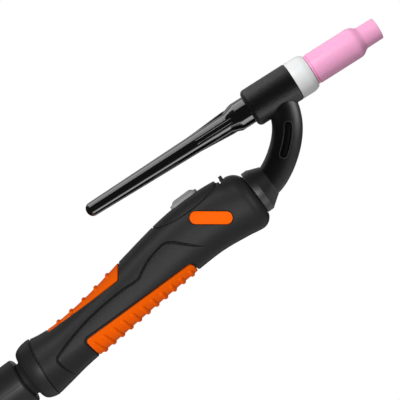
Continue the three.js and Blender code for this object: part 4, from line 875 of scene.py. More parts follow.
# ------------------------------------------------------------------ switch module
MODULE_X, MODULE_Z, MODULE_LONG, MODULE_DEEP = 57.6, 29.5, 24.0, 6.5
BUTTON_X, BUTTON_LENGTH, BUTTON_WIDTH = 58.9, 19.0, 9.0
BUTTON_TOP = measure(BUTTON_X, 1)  # height of the handle's skin at the button
LATCH_X, LATCH_TOP = 83.2, measure(83.2, 1)


def module_prism(name, gap):
    """The oval that outlines the cover from the side, open to the top."""
    long, deep = MODULE_LONG + gap, MODULE_DEEP + gap
    turns = [math.pi + math.pi * k / 120 for k in range(121)]
    side = [(MODULE_X + long * math.cos(a), MODULE_Z + deep * math.sin(a)) for a in turns]
    side += [(MODULE_X + long, FAR), (MODULE_X - long, FAR)]
    return lofted(name, [[(x, y, z) for x, z in side] for y in (-FAR, FAR)])


def button_panel(name, spread, layers, cell):
    """An upright plate with the button's outline."""
    long, wide = BUTTON_LENGTH + 2 * spread, BUTTON_WIDTH + 2 * spread

    def place(p, q, height):
        return (BUTTON_X - BUTTON_LENGTH / 2 - spread + p, q - BUTTON_WIDTH / 2 - spread, height)

    return panel(name, place, long, wide, BUTTON_WIDTH / 2 + spread, layers, cell)


def module_seam(name, radius):
    """The tool that bevels the joint round the switch cover."""
    def height(x):
        share = held(1 - ((x - MODULE_X) / (MODULE_LONG + GAP / 2)) ** 2)
        return MODULE_Z - (MODULE_DEEP + GAP / 2) * math.sqrt(share)

    ends = []
    for sign in (-1, 1):
        inner, outer = MODULE_X, MODULE_X + sign * (MODULE_LONG + GAP / 2)
        for _ in range(40):
            x = (inner + outer) / 2
            inner, outer = (x, outer) if height(x) < measure(x, 1) else (inner, x)
        ends.append(inner)
    path, ups, scales = [], [], []
    for side in (-1, 1):
        for k in range(90):
            share = (1 - math.cos(math.pi * k / 90)) / 2
            x = ends[0] + (ends[1] - ends[0]) * (share if side < 0 else 1 - share)
            turn = skin_turn(x, height(x), side)
            path.append(skin_point(x, turn))
            ups.append(skin_normal(x, turn))
            scales.append(radius * (1 + 1.6 * held((x - 68) / 10)))
    return swept(name, path, ups, disc(1), True, scales)


# ------------------------------------------------------------------ handle screws
SCREWS = ((-55, -9.5), (-10, 11), (50, -1.5), (79, -3.5))
SCREW_SET = 2.2  # how deep their heads lie under the skin


def side_reach(x, z):
    return abs(skin_point(x, skin_turn(x, z, 1)).y)


def screw_pattern(name, radius, high, shaft, reach, place):
    """A screw whose head ends at the origin and whose shaft reaches back along the axis."""
    return turned(name, [
        (-reach, 0), (-reach, shaft, 0.3), (-high, shaft), (-high + 0.3, radius, 0.2),
        (-0.1, radius, 0.3), (0, radius - 0.9), (0, 0),
    ], place, 48)


def across_at(x, z):
    """Places something turned about the X axis so that it lies along Y at (x, z)."""
    return lambda a, b, c: (x - b, a, z + c)


# ------------------------------------------------------------------ the neck's line
NECK_POINTS = [Vector(point) for point in (
    (86, 0, 8.4), (95, 0, 8.4), (107.4, 0, 9.4), (116.2, 0, 12.9), (125.2, 0, 18.8),
    (131.7, 0, 24.8), (136.3, 0, 31), (139.6, 0, 38.6), (141.7, 0, 49.3),
)]


PLATE_FOOT, PLATE_LONG, PLATE_WIDE = Vector((123.5, 0, 15.6)), 22.2, 4.9


@lru_cache(maxsize=None)
def neck_table():
    """Points on the neck's middle line, their lengths along it, and where its plate starts."""
    line, lengths = smooth_line(NECK_POINTS, 24, 0.5), [0.0]
    for a, b in zip(line, line[1:]):
        lengths.append(lengths[-1] + (b - a).length)
    k = min(range(len(line)), key=lambda i: (line[i] - PLATE_FOOT).length)
    return line, lengths, lengths[k] - 2.4


def on_neck(reach, turn, lift):
    """A point on the neck's left side and the way out of it."""
    line, lengths, _ = neck_table()
    i = max(k for k, value in enumerate(lengths[:-1]) if value <= reach)
    share = (reach - lengths[i]) / (lengths[i + 1] - lengths[i])
    point = line[i].lerp(line[i + 1], share)
    along = (line[i + 1] - line[i]).normalized()
    up = Vector((-along.z, 0, along.x))
    out = Vector((0, -1, 0)) * math.cos(turn) + up * math.sin(turn)
    return point + out * (size("neck_radius") + lift), out


def neck_plate(name, spread, layers, rib=0.0):
    """A long plate on the neck's left side, with fine cross ribs on it where asked."""
    radius, start = size("neck_radius"), neck_table()[2]
    reach, wide = PLATE_LONG + 2 * spread, PLATE_WIDE + 2 * spread

    def place(p, q, height):
        inside = min(p - 1.8, reach - 1.8 - p, q - 0.9, wide - 0.9 - q)
        if height == layers[-1][1] and inside > 0:
            height += rib * min(inside / 0.4, 1) * max(math.cos(math.tau * p / 1.4), 0)
        return on_neck(start - spread + p, (q - wide / 2) / radius, height)[0]

    return panel(name, place, reach, wide, wide / 2, layers, 0.2 if rib else 0.4, 0.4)


def neck_bead(name):
    """A round bead along the plate's edge."""
    start, half, radius = neck_table()[2], PLATE_WIDE / 2, size("neck_radius")
    straight, spots = PLATE_LONG - PLATE_WIDE, []
    for centre, first in ((PLATE_LONG - half, -90), (half, 90)):
        for k in range(25):
            a = math.radians(first + 180 * k / 24)
            spots.append((centre + half * math.cos(a), half * math.sin(a)))
        side = -1 if first > 0 else 1
        for k in range(1, 12):
            share = k / 12
            spots.append((straight * (1 - share if side > 0 else share) + half, side * half))
    path, ups = zip(*[on_neck(start + p, q / radius, 0.02) for p, q in spots])
    return swept(name, path, ups, disc(0.34, 10), True)


def tube(name, path, radius, sides):
    """A round rod along a line in the torch's middle plane."""
    rings = []
    for i, point in enumerate(path):
        along = (path[min(i + 1, len(path) - 1)] - path[max(i - 1, 0)]).normalized()
        up = Vector((-along.z, 0, along.x))
        rings.append([point + (Vector((0, 1, 0)) * math.cos(a) + up * math.sin(a)) * radius
                      for a in full_turn(sides)])
    return lofted(name, rings)


def bent(made):
    """Bakes a piece's placement into its mesh."""
    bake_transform(made)


# ------------------------------------------------------------------ operators
class TORCH_OT_stage(bpy.types.Operator):
    """Sets the camera, the lamps, the world and the floor"""
    bl_idname = "torch.stage"
    bl_label = "Stage"

    def execute(self, context):
        scene = context.scene
        scene.view_settings.view_transform = "Standard"
        c, s = math.cos(PHOTO_TURN), math.sin(PHOTO_TURN)
        lens = bpy.data.cameras.new("Camera")
        lens.lens, lens.sensor_width, lens.clip_end = 150, 36, 20
        scene.camera = placed("Camera", lens)
        scene.camera.matrix_world = Matrix((
            (c, s, 0, CAMERA_X / 1000), (0, 0, -1, -CAMERA_AWAY / 1000),
            (-s, c, 0, CAMERA_Z / 1000), (0, 0, 0, 1)))
        for title, target, turn, rise, away, wide, deep, power in (
            ("Front Box", (-0.02, 0, 0.004), -8, -9, 0.9, 0.5, 0.12, 5.8),
            ("Grip Box", (0.0, 0, 0.004), -22, 8, 0.9, 0.4, 0.2, 5.5),
            ("Handle Top", (0.02, 0, 0.01), -5, 50, 0.8, 0.5, 0.3, 3.5),
            ("Side Box", (0.09, 0, 0.01), 50, -6, 0.8, 0.2, 0.2, 2.4),
            ("Rear Box", (-0.078, 0, 0), 0, -5, 0.9, 0.25, 0.25, 8.5),
            ("Top Strip", (0.05, 0, 0.04), 0, 79, 0.6, 0.5, 0.5, 1.6),
            ("Top Edge", (0.05, 0, 0.04), 0, 50, 0.6, 0.5, 0.07, 0.28),
            ("Under Strip", (0.13, 0, 0.05), 0, -66, 0.24, 0.4, 0.1, 0.25),
            ("Under Edge", (0.05, 0, 0.04), 0, -52, 0.26, 0.4, 0.04, 0.08),
            ("Neck Fill", (0.13, 0, 0.03), 78, -12, 0.8, 0.6, 0.5, 5.0),
            ("Neck Left", (0.13, 0, 0.03), -84, -8, 0.8, 0.4, 0.4, 1.2),
            ("Nozzle Key", (0.18, 0, 0.05), -16, 36, 0.9, 0.4, 0.3, 7.3),
            ("Nose", (0.1, 0, 0.03), 62, 12, 1.0, 0.5, 0.6, 0.5),
            ("Back", (0.05, 0, 0.02), 180, 62, 1.0, 1.2, 1.0, 2.6),
            ("Back Low", (0.05, 0, 0.02), 170, 10, 1.3, 0.9, 0.5, 2.0),
        ):
            lamp = bpy.data.lights.new(title, "AREA")
            lamp.shape, lamp.size, lamp.size_y, lamp.energy = "RECTANGLE", wide, deep, power
            lit = placed(title, lamp)
            turn, rise = math.radians(turn), math.radians(rise)
            aim = Vector((math.sin(turn) * math.cos(rise), -math.cos(turn) * math.cos(rise),
                          math.sin(rise)))
            lit.location = Vector(target) + aim * away
            lit.rotation_euler = aim.to_track_quat("Z", "Y").to_euler()
            if any(title in titles for titles in LAMPS.values()):
                lit.light_linking.receiver_collection = bpy.data.collections.new(title)
        world = bpy.data.worlds.new("Studio")
        scene.world = world
        sheet = fresh_sheet(world)
        path = sheet.node("ShaderNodeLightPath").outputs
        straight, through, glossy = [Wire(sheet, path[f"Is {kind} Ray"]) for kind in (
            "Camera", "Transmission", "Glossy")]
        seen = straight.most(through)
        strength = seen + (1 - seen) * (0.22 - 0.17 * glossy)
        sky = sheet.add("ShaderNodeBackground", None, {0: (1, 1, 1, 1), 1: strength})
        sheet.node("ShaderNodeOutputWorld", None, {"Surface": sky})
        self.floor()
        return {"FINISHED"}

    def floor(self):
        floor = turned("Floor", [(-0.6, 0), (-0.6, 340), (0, 340), (0, 0)],
                       lambda a, b, c: (35 + b, c, -200 + a), 128)
        material = bpy.data.materials.new("Floor White")
        sheet = fresh_sheet(material)
        spot = sheet.add("ShaderNodeTexCoord", output="Object")
        away = sheet.add("ShaderNodeVectorMath", {"operation": "DISTANCE"}, {
            0: spot, 1: (0.035, 0, -0.2)}, "Value")
        noise = sheet.add("ShaderNodeTexNoise", None, {"Vector": spot, "Scale": 30.0})
        matt = sheet.add("ShaderNodeBsdfPrincipled", None, {
            "Base Color": mixed(sheet, noise, (0.86, 0.86, 0.86, 1), (0.9, 0.9, 0.9, 1)),
            "Roughness": 0.8, "Emission Color": (1, 1, 1, 1), "Emission Strength": 0.25,
            "Alpha": 1 - away.between(0.2, 0.33)})
        sheet.node("ShaderNodeOutputMaterial", None, {"Surface": matt})
        floor.data.materials.append(material)


class TORCH_OT_shells(bpy.types.Operator):
    """Builds the two handle shells and the switch cover, which share one skin"""
    bl_idname = "torch.shells"
    bl_label = "Handle Shells"

    def execute(self, context):
        whole = handle_form("Handle Whole", 0.0, detail=True)
        hollow = handle_form("Handle Hollow", -size("wall"), 2.0, 72)
        carved(whole, [hollow], keep=True)
        cover = carved(copied(whole, "Switch_Cover"), [module_prism("Oval", 0)], "INTERSECT")
        lip = handle_form("Cover Lip", -0.9, 1.5, 96)
        carved(lip, [hollow], keep=True)
        carved(lip, [module_prism("Oval", GAP - 0.03)], "INTERSECT")
        carved(cover, [lip], "UNION")
        reaches = [side_reach(x, z) - 3.6 for x, z in SCREWS]
        carved(whole, [rod("Boss", -reach, reach, 3.4, across_at(x, z), 40)
                       for reach, (x, z) in zip(reaches, SCREWS)], "UNION")
        tools = [
            behind_seam("Behind", GAP),
            rod("Neck Bore", 80, FRONT + 5, 9.6, lambda a, b, c: (a, b, c + TUBE_Z), 96),
            module_prism("Oval", GAP),
            grip_panel("Upper Seat", UPPER_GRIP, GAP, cut_rim(1.8, 0.8), 1.0),
            grip_panel("Lower Seat", LOWER_GRIP, 0.7, cut_rim(1.8, 0.8), 1.0),
            module_seam("Module Seam", size("seam_groove")),
            seam_ring("Rear Seam", 0.2, 1.0, 0.5),
            block("Notch", (LATCH_X - 1.4, -11, LATCH_TOP - 2.3), (LATCH_X - GAP, 11, FAR)),
            block("Latch Room", (LATCH_X - GAP, -4.3, LATCH_TOP - 7), (LATCH_X + 3.1, 4.3, FAR)),
        ]
        for side in (-1, 1):
            tools += [self.side_groove(side), self.parting_groove(side)]
        carved(whole, tools)
        wells = [self.well(x, z) for x, z in SCREWS]
        for name, node, low, high in (
            ("Left_Handle", "left_shell", -FAR, -GAP / 2),
            ("Right_Handle", "right_shell", GAP / 2, FAR),
        ):
            half = block("Half", (-2 * FAR, low, -FAR), (2 * FAR, high, FAR))
            shell = carved(copied(whole, name), [half], "INTERSECT")
            carved(shell, wells, keep=True)
            if low < 0:
                carved(shell, [badge_panel("Seat", 0.25, cut_rim(0.9, 0.3))])
            settled(shell, "black", [node], "handle")
        for tool in [whole, hollow, *wells]:
            bpy.data.objects.remove(tool)
        self.cover(cover)
        return {"FINISHED"}

    def side_groove(self, side):
        """The tool for the curved line on one side, which rises out of the skin at both ends."""
        path, ups, count = [], [], len(SIDE_LINE)
        for k, (x, z) in enumerate(SIDE_LINE):
            turn = skin_turn(x, z, side)
            up = skin_normal(x, turn)
            fade = min(k / 8, (count - 1 - k) / 10, 1)
            path.append(skin_point(x, turn) + up * 1.1 * (1 - fade))
            ups.append(up)
        half = size("line_groove")
        wedge = [(-1.6 * half, 1), (-half, 0), (-0.12, -1.3),
                 (0.12, -1.3), (half, 0), (1.6 * half, 1)]
        return swept("Side Line", path, ups, wedge)

    def parting_groove(self, side):
        """The tool for the fine line where the shells meet, above or below."""
        places = [REAR - 2 + 1.5 * k for k in range(110)]
        path = [skin_point(x, side * math.pi / 2) for x in places if x < FRONT - 0.5]
        ups = [Vector((0, 0, side))] * len(path)
        return swept("Parting", path, ups, disc(0.32, 8))

    def well(self, x, z):
        """The tool for a screw's hole, with room for its head."""
        head = side_reach(x, z) - SCREW_SET
        radius = size("screw_head") + GAP
        return turned("Well", [
            (-7.3, 0), (-7.3, 1.8), (head - 1.9, 1.8), (head - 0.7, radius), (head + 1.7, radius),
            (head + 3.4, radius + 1.7), (FAR, radius + 1.7), (FAR, 0),
        ], across_at(x, z), 64)

    def cover(self, cover):
        """Opens the cover for the button, cuts its tip and finishes it."""
        top = BUTTON_TOP
        layers = [(0, 10), (0, top - 0.2), (-0.8, top + 0.6), (-0.8, 50)]
        slot = button_panel("Slot", GAP, layers, 0.6)
        tip = block("Tip", (LATCH_X - 1.7, -FAR, -FAR), (FAR * 2, FAR, FAR))
        carved(cover, [slot, tip, module_seam("Module Seam", size("seam_groove"))])
        settled(cover, "black", ["switch_cover"], "handle")


def badge_panel(name, spread, layers):
    """A pill-shaped plate on the left side of the handle, level in the photo."""
    long, high = 25.4 + 2 * spread, 7.6 + 2 * spread
    c, s = math.cos(-PHOTO_TURN), math.sin(-PHOTO_TURN)

    def place(p, q, height):
        a, b = p - long / 2, q - high / 2
        return side_point(65.6 + a * c - b * s, 12.3 + a * s + b * c, -1, height)

    return panel(name, place, long, high, high / 2, layers, 0.5)


class TORCH_OT_grips(bpy.types.Operator):
    """Builds the upper and lower rubber grips with their ribs, and the badge"""
    bl_idname = "torch.grips"
    bl_label = "Grips and Badge"

    def execute(self, context):
        layers = rounded_rim(GRIP_THICKNESS, 0.55)
        names = ("First", "Pitch", "Count", "Width", "Slant", "Reach", "Low End", "High End",
                 "Height")
        upper, lower, high = [size(name) for name in ("upper_rib", "lower_rib", "rib_height")]
        for name, grip, cell, ribs in (
            ("Upper_Grip", UPPER_GRIP, 0.4, (-45, 10, 5, upper, 0, 9, 16, 60, high)),
            ("Lower_Grip", LOWER_GRIP, 0.42, (-31.5, 6.8, 11, lower, 3, 60, -16, -5.2, high)),
        ):
            made = grip_panel(name, grip, 0.0, layers, cell, 0.7)
            mark_free(made, grip)
            grown(made, "Cross Ribs", "orange", dict(zip(names, ribs)), cross_ribs)
            settled(made, "orange", [name.lower()], "handle")
        rim = [(0, -0.8), (0, 0.25), (0.1, 0.42), (0.3, 0.5), (0.75, 0.5), (0.95, 0.36)]
        badge = badge_panel("Badge", 0.0, rim)
        settled(badge, "badge", ["badge"], "handle")
        return {"FINISHED"}


class TORCH_OT_switch(bpy.types.Operator):
    """Builds the push button, its springs and the small latch in front of its cover"""
    bl_idname = "torch.switch"
    bl_label = "Button and Latch"

    def execute(self, context):
        low = BUTTON_TOP - 4.5
        layers = [(-1.4, low - 1.2), (-1.4, low), (0, low)] + [
            (inset, BUTTON_TOP + rise) for inset, rise in (
                (0, 1.0), (0.12, 1.25), (0.4, 1.42), (1.3, 1.6), (1.8, 1.8), (2.2, 2.15),
                (2.7, 2.6), (3.2, 2.92), (3.7, 3.1), (4.1, 3.18))]
        button = button_panel("Button", 0, layers, 0.45)
        settled(button, "grey", ["button"], "button", 35)
        latch = block("Latch", (LATCH_X, -4, LATCH_TOP - 6), (LATCH_X + 2.1, 4, LATCH_TOP + 1.5))
        foot = block("Foot", (LATCH_X, -4, LATCH_TOP - 6), (LATCH_X + 2.8, 4, LATCH_TOP - 4.8))
        carved(latch, [foot], "UNION")
        edge = latch.modifiers.new("Edges", "BEVEL")
        edge.width, edge.segments, edge.limit_method = 0.00035, 3, "ANGLE"
        flattened(latch)
        settled(latch, "black", ["module_latch"], "latch")
        self.springs()
        return {"FINISHED"}

    def springs(self):
        """The two coil springs under the button."""
        wire, turns, steps = 0.3, 4, 160
        for node in ("button_spring_1", "button_spring_2"):
            low, high = [Vector(corner) * 1000 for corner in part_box(node)]
            middle, radius = (low + high) / 2, (high.y - low.y) / 2 - wire
            coil = []
            for k in range(steps + 1):
                a = math.tau * turns * k / steps
                rise = low.z + wire + (high.z - low.z - 2 * wire) * k / steps
                coil.append((middle.x + radius * math.cos(a), middle.y + radius * math.sin(a),
                             rise))
            spring = marks(node.title(), coil, [wire] * len(coil))
            cleaned(grown(spring, "Coil Spring", "steel", {"Share": 1}, along_line))
            settled(spring, "steel", [node], None)
            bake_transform(spring)


BALL_X, BALL_RADIUS, STEM_RADIUS = -73.5, 12.6, 10.8  # of the ball's middle, the ball and its stem
RING_REAR, RING_FRONT, RING_BORE = -78.0, -62, 14.2
SLEEVE_FRONT, SLEEVE_REAR, SLEEVE_MOUTH, SLEEVE_CAVITY = -81.6, -143.0, 9.5, 11.9
SLEEVE_SCREWS = [(-119, y) for y in (-11.3, 11.3)]


class TORCH_OT_rear_joint(bpy.types.Operator):
    """Builds the rear ring and the ball that swivels in it"""
    bl_idname = "torch.rear_joint"
    bl_label = "Rear Ball Joint"

    def execute(self, context):
        radius, bore, ball = size("ring_radius"), RING_BORE, BALL_X
        socket = [(ball + d, math.sqrt(12.9 ** 2 - d * d)) for d in (-1, -2, -3, -4, -4.5)]
        barrel = [(RING_REAR + 0.15 + 10 * (1 - math.cos(a)), 14.6 + (radius - 14.6) * math.sin(a))
                  for a in quarter_turn(16)]
        ring = turned("Rear_Ring", [
            *socket, (RING_REAR, bore), *barrel, (RING_FRONT, radius), (RING_FRONT, bore),
            (ball - 1, bore),
        ])
        spigot = turned("Spigot", [
            (-77, bore), (-77, 15.4), (RING_FRONT, 15.4), (RING_FRONT, bore)])
        spigot = carved(copied(ring, "Spigot Body"), [spigot], "INTERSECT")
        carved(ring, [behind_seam("Seam", 0)], "INTERSECT")
        carved(ring, [seam_ring("Rear Seam", 0.2, 0.3, 0)])
        carved(ring, [spigot], "UNION")
        settled(ring, "satin", ["rear_ring"], "handle")
        meets = -math.sqrt(BALL_RADIUS ** 2 - STEM_RADIUS ** 2)
        dome = [(ball + d, math.sqrt(BALL_RADIUS ** 2 - d * d))
                for d in (meets + (9.6 - meets) * k / 24 for k in range(25))]
        end, stem, flange = ball - 22.5, STEM_RADIUS, BALL_RADIUS
        knob = turned("Ball", [
            (end, 8), (end, stem, 0.3), (end + 4, stem), (end + 4, flange), (end + 7, flange),
            (end + 7, stem), *dome, (ball + 9.6, 8),
        ])
        settled(knob, "satin", ["ball"], "cable_support")
        return {"FINISHED"}


class TORCH_OT_sleeve(bpy.types.Operator):
    """Builds the two halves of the cable sleeve, with the posts and wells for their screws"""
    bl_idname = "torch.sleeve"
    bl_label = "Cable Sleeve"

    def execute(self, context):
        front, rear, radius = SLEEVE_FRONT, SLEEVE_REAR, size("sleeve_radius")
        stem, end, mouth, cavity = 11.1, -96.0, SLEEVE_MOUTH, SLEEVE_CAVITY
        whole = turned("Sleeve Whole", [
            (rear, mouth, 0.4), (rear, 14.5, 0.8), (front - 6, radius, 40), (front, radius, 3),
            (front, stem, 0.3), (end + 7.3, stem), (end + 7.3, 12.9), (end + 3.7, 12.9),
            (end + 3.7, stem), (end - 0.3, stem), (end - 2.3, cavity), (rear + 6, cavity),
            (rear + 4, mouth),
        ])
        for place in SLEEVE_SCREWS:
            post = rod("Post", -13.2 + 4.4, 13.2 - 4.4, 2.6, self.upright(place), 40)
            carved(post, [rod("Keep", rear, front, 14.2)], "INTERSECT")
            carved(whole, [post], "UNION")
        carved(whole, [turned("Well", [
            (-FAR, 0), (-FAR, 2.3), (-7.1, 2.3), (-7.1, 1.4), (4.3, 1.4), (4.3, 0),
        ], self.upright(place), 40) for place in SLEEVE_SCREWS])
        for side in (-1, 1):
            path = [Vector((x, side * self.reach(x), 0)) for x in
                    (front + 1 - 63.4 * k / 100 for k in range(101))]
            ups = [Vector((0, side, 0))] * len(path)
            carved(whole, [swept("Joint", path, ups, disc(0.12, 8))])
        for name, node, low, high in (
            ("Sleeve_Upper", "support_upper", 0.03, FAR),
            ("Sleeve_Lower", "support_lower", -FAR, -0.03),
        ):
            half = block("Half", (-3 * FAR, -FAR, low), (0, FAR, high))
            made = carved(copied(whole, name), [half], "INTERSECT")
            settled(made, "satin", [node], "cable_support")
        bpy.data.objects.remove(whole)
        return {"FINISHED"}

    def upright(self, place):
        return lambda a, b, c: (place[0] + c, place[1] + b, a)

    def reach(self, x):
        """The sleeve's outer radius at x."""
        into = held(x - (SLEEVE_FRONT - 3), 0, 3)
        along = held((SLEEVE_FRONT - 6 - x) / 55.4)
        return size("sleeve_radius") - 0.8 * along - 3 + math.sqrt(9 - into * into)


class TORCH_OT_screws(bpy.types.Operator):
    """Sets the handle's and the sleeve's screws in their wells, as instances made real"""
    bl_idname = "torch.screws"
    bl_label = "Screws"

    def execute(self, context):
        ends = [side_reach(x, z) - SCREW_SET for x, z in SCREWS]
        pattern = screw_pattern(
            "Screw Pattern", size("screw_head"), 1.6, 1.5, min(ends) + 7, across_at(0, 0))
        for wide, high in ((0.35, 1.6), (1.6, 0.35)):
            carved(pattern, [block("Recess", (-wide, -1.1, -high), (wide, 1, high))])
        spots = [(x, end, z) for (x, z), end in zip(SCREWS, ends)]
        self.set_in("Handle_Screws", pattern, spots, "handle_screw", "handle")

        def downward(a, b, c):
            return c, b, -a

        pattern = screw_pattern("Screw Pattern", 2, 1.6, 1.1, 13, downward)
        carved(pattern, [rod("Socket", -1, 1, 1.1, downward, 6)])
        spots = [(x, y, -9) for x, y in SLEEVE_SCREWS]
        self.set_in("Sleeve_Screws", pattern, spots, "support_screw", "cable_support")
        return {"FINISHED"}

    def set_in(self, name, pattern, spots, node, body):
        screws = marks(name, spots)
        grown(screws, "Screws On Points", "steel", {"Pattern": pattern}, on_points)
        bpy.data.objects.remove(pattern)
        settled(screws, "steel", [f"{node}_{k + 1}" for k in range(len(spots))], body)


class TORCH_OT_neck(bpy.types.Operator):
    """Builds the bent rubber neck, the tube in it and the tapered collar at its foot"""
    bl_idname = "torch.neck"
    bl_label = "Neck and Collar"

    def execute(self, context):
        radius, line = size("neck_radius"), smooth_line(NECK_POINTS, 14, 0.5)
        foot = [(Vector((x, 0, TUBE_Z)), wide) for x, wide in (
            (86, radius), (88.99, radius), (89, 12.2), (91.7, 12.2), (91.71, radius))]
        path, wide = zip(*foot, *[(point, radius) for point in line if point.x > 92])
        sleeve = marks("Neck_Sleeve", path, wide)
        cleaned(grown(sleeve, "Skin Along Line", "rubber", {"Share": 1}, along_line))
        back, onward = Vector((2, 0, 0)), Vector((0, 0, 4))
        carved(sleeve, [tube("Bore", [path[0] - back, *path[1:-1], path[-1] + onward], 5.0, 32)])
        carved(sleeve, [rod("Head Room", -60, 40, size("head_radius") + 0.12, on_head, 160)])
        recess = neck_plate("Plate Recess", 0.0, [(0, -1.1), (0, -0.1), (-0.25, 0.8)])
        carved(sleeve, [neck_bead("Plate Bead")], "UNION")
        carved(sleeve, [recess])
        settled(sleeve, "rubber", ["neck_sleeve"], None, 32, "neck")
        bent(sleeve)
        # The rim's paler rubber is a painted highlight; the plate's darker rubber is painted shade
        # in its recess.
        rim = neck_plate("Plate_Rim", 0.3, [(0, -0.3), (0, 0.1), (-0.1, 0.22)])
        carved(rim, [neck_plate("Plate Middle", -0.12, [(0, -1.2), (0, 1.2)])])
        plate = neck_plate("Neck_Plate", -0.1, [(0, -1.0), (0, -0.62), (0.2, -0.5)], 0.2)
        for made, kind in ((rim, "rim"), (plate, "plate")):
            settled(made, kind, [], None, 40, "neck")
            bent(made)
        inside = [point for point in line if point.x > 98.6 and point.z < 36.8]
        pipe = tube("Neck_Tube", inside, 4.6, 40)
        bore = [inside[0] - back, *inside, inside[-1] + Vector((1, 0, 4))]
        carved(pipe, [tube("Bore", bore, 3.0, 24)])
        settled(pipe, "copper", ["neck_tube"], None)
        bent(pipe)
        self.collar()
        return {"FINISHED"}

    def collar(self):
        rear, radius, front = FRONT + GAP, size("collar_radius"), FRONT + GAP + 11.6

        def climbing(x, y, z):
            return x, y, z + TUBE_Z + eased(held((x - rear - 4.3) / 7.3))

        collar = turned("Neck_Collar", [
            (rear, 9.6), (rear, radius, 0.5), (rear + 4.3, radius, 0.7),
            (rear + 4.45, radius - 0.3, 0.2), (front - 1, 10.4, 0.8), (front, 10.0, 0.3),
            (front, 9.6),
        ], climbing)
        settled(collar, "rubber", ["neck_collar"], "handle", lit="collar")


class TORCH_OT_head(bpy.types.Operator):
    """Builds the rubber head and the white insulator ring in front of it"""
    bl_idname = "torch.head"
    bl_label = "Head and Insulator"

    def execute(self, context):
        radius = size("head_radius")
        cover = turned("Head_Cover", [
            (0, 8.6), (0, radius, 0.35), (-31.2, radius, 4.4), (-31.2, 6.15, 0.3), (-28.2, 6.15),
            (-28.2, 8.6),
        ], on_head)
        settled(cover, "hide", ["head_cover"], "head")
        ring = turned("Insulator_Ring", [
            (0.3, 7.3), (0.3, radius - 0.05, 0.3), (9.3, radius - 0.05, 13), (12.3, 10.7, 0.9),
            (12.3, 7.3),
        ], on_head)
        settled(ring, "white", ["insulator_ring"], "insulator")
        return {"FINISHED"}


class TORCH_OT_nozzle(bpy.types.Operator):
    """Builds the ceramic nozzle"""
    bl_idname = "torch.nozzle"
    bl_label = "Ceramic Nozzle"

    def execute(self, context):
        radius, tip = size("nozzle_radius"), size("tip_radius")
        nozzle = turned("Nozzle", [
            (12.6, 6.3), (12.6, 9.6, 0.25), (13.6, 9.6, 0.2), (13.6, 8.8), (14.15, 8.8),
            (14.15, radius, 0.4), (44.5, radius, 5), (48.6, tip + 0.1, 3), (60, tip, 0.5),
            (60, 4.75, 0.4), (46, 4.75), (44, 5.5), (25.4, 5.5), (25.4, 6.3),
        ], on_head, 128)
        settled(nozzle, "pink", ["nozzle"], "nozzle")
        return {"FINISHED"}


CAP_FRONT, CAP_LONG, CAP_END, CAP_BORE = -31.6, 111, 4.4, 1.9
CAP_EDGE = (  # from a rib's middle outwards: how far across, and how far below its top
    (0, 0), (0.5, 0), (0.9, 0.02), (1.1, 0.07), (1.26, 0.17), (1.36, 0.3), (1.4, 0.48),
    (1.45, 0.9), (1.5, 2.2),
)


class TORCH_OT_cap(bpy.types.Operator):
    """Builds the long back cap with its flats and lengthwise ribs"""
    bl_idname = "torch.cap"
    bl_label = "Back Cap"

    def execute(self, context):
        collar, front, end = size("cap_collar"), CAP_FRONT, CAP_FRONT - CAP_LONG
        rows = self.filled(softened([
            (front, 4.9), (front, collar, 0.3), (front - 7.8, collar, 0.2), (front - 15, 6.3, 0.6),
            (end, CAP_END),
        ])[1:], 1.6)
        rows += [Vector((end - 3.8 * math.sin(a), CAP_END * math.cos(a)))
                 for a in quarter_turn(10)[1:-1]]
        rings = []
        for s, radius in [(front + 12.4, 4.9), (front + 0.02, 4.9), *rows]:
            side, ring = self.quarter(s, radius), []
            for k in range(4):
                c, n = math.cos(math.pi / 2 * k), math.sin(math.pi / 2 * k)
                ring += [Vector(on_head(s, t * c + h * n, h * c - t * n)) for t, h in side]
            rings.append(ring)
        cap = lofted("Back_Cap", rings)
        bore = turned("Cap Bore", [
            (front + 13, 0), (front + 13, 2.9), (-27.8, 2.9), (-27.8, CAP_BORE),
            (end + 1.2, CAP_BORE), (end + 1.2, 0),
        ], on_head, 48)
        carved(cap, [bore])
        groove = [(-30.85, 3.85), (-30.85, 8), (-28.55, 8), (-28.55, 3.85)]
        carved(cap, [turned("Seal Groove", groove, on_head, 64)])
        settled(cap, "gloss", ["back_cap"], "back_cap", 26)
        return {"FINISHED"}

    def filled(self, rows, step):
        """The same outline with points at least every step along the cap."""
        done = [rows[0]]
        for a, b in zip(rows, rows[1:]):
            count = max(1, math.ceil(abs(b[0] - a[0]) / step))
            done += [a.lerp(b, (k + 1) / count) for k in range(count)]
        return done

    def quarter(self, s, radius):
        """Points of the section from one rib's middle up to the next, as (across, out)."""
        rib = 0.0
        if CAP_FRONT - 39 < s < CAP_FRONT - 8:
            rib = 5.75 + 1.75 * held((s - CAP_FRONT + 39) / 24)
        flat = 8.7 if s > CAP_FRONT - 15 else 99

        def skin(t):
            return min(math.sqrt(max(radius * radius - t * t, 0)), flat)

        wide = min(1.0, radius / 2.6)
        right = [(t * wide, max(rib - drop, skin(t * wide))) for t, drop in CAP_EDGE]
        last = math.asin(min(CAP_EDGE[-1][0] * wide / radius, 1))
        turns = [last + (math.pi / 2 - 2 * last) * k / 20 for k in range(1, 20)]
        middle = [(min(radius * math.sin(a), flat), min(radius * math.cos(a), flat)) for a in turns]
        return right + middle + [(h, t) for t, h in reversed(right[1:])]


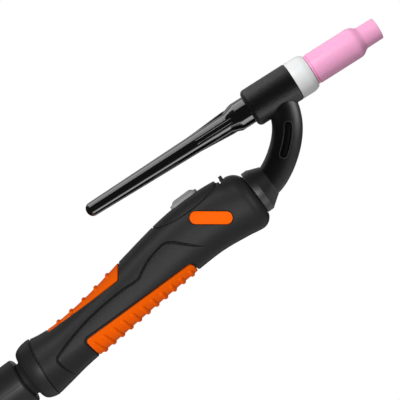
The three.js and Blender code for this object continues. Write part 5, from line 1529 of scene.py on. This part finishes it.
class TORCH_OT_inside(bpy.types.Operator):
    """Gives the pieces inside the torch their finishes"""
    bl_idname = "torch.inside"
    bl_label = "Inside Finishes"

    def execute(self, context):
        for kind, nodes in (
            ("inner", ("micro_switch", "switch_plug", "ball_seat")),
            ("grey", ("switch_plunger",)),
            ("board", ("switch_board",)),
            ("lead", ("switch_lead_1", "switch_lead_2")),
            ("seal", ("back_cap_o_ring",)),
            ("brass", ("union_nut", "hose_nipple", "head_core")),
            ("copper", ("power_tube", "collet_body", "collet")),
            ("tungsten", ("electrode",)),
        ):
            for node in nodes:
                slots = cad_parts[node].data.materials
                slots.clear()
                slots.append(finish(kind))
        return {"FINISHED"}


class TORCH_PT_panel(bpy.types.Panel):
    """Lists the steps that build the torch"""
    bl_label = "TIG Torch"
    bl_idname = "TORCH_PT_panel"
    bl_space_type = "VIEW_3D"
    bl_region_type = "UI"
    bl_category = "TIG Torch"

    def draw(self, context):
        for step in STEPS:
            self.layout.operator(step.bl_idname)
        scene = context.scene
        for group in (scene.torch_sizes, scene.torch_colours):
            for title in type(group).__annotations__:
                self.layout.prop(group, title)


STEPS = (
    TORCH_OT_stage, TORCH_OT_shells, TORCH_OT_grips, TORCH_OT_switch, TORCH_OT_rear_joint,
    TORCH_OT_sleeve, TORCH_OT_screws, TORCH_OT_neck, TORCH_OT_head, TORCH_OT_nozzle, TORCH_OT_cap,
    TORCH_OT_inside,
)
CLASSES = (TorchSizes, TorchColours, *STEPS, TORCH_PT_panel)


def register():
    for kind in CLASSES:
        bpy.utils.register_class(kind)
    bpy.types.Scene.torch_sizes = bpy.props.PointerProperty(type=TorchSizes)
    bpy.types.Scene.torch_colours = bpy.props.PointerProperty(type=TorchColours)


def unregister():
    del bpy.types.Scene.torch_colours
    del bpy.types.Scene.torch_sizes
    for kind in reversed(CLASSES):
        bpy.utils.unregister_class(kind)


def main():
    register()
    for step in STEPS:
        group, name = step.bl_idname.split(".")
        getattr(getattr(bpy.ops, group), name)()


if __name__ == "__main__":
    main()
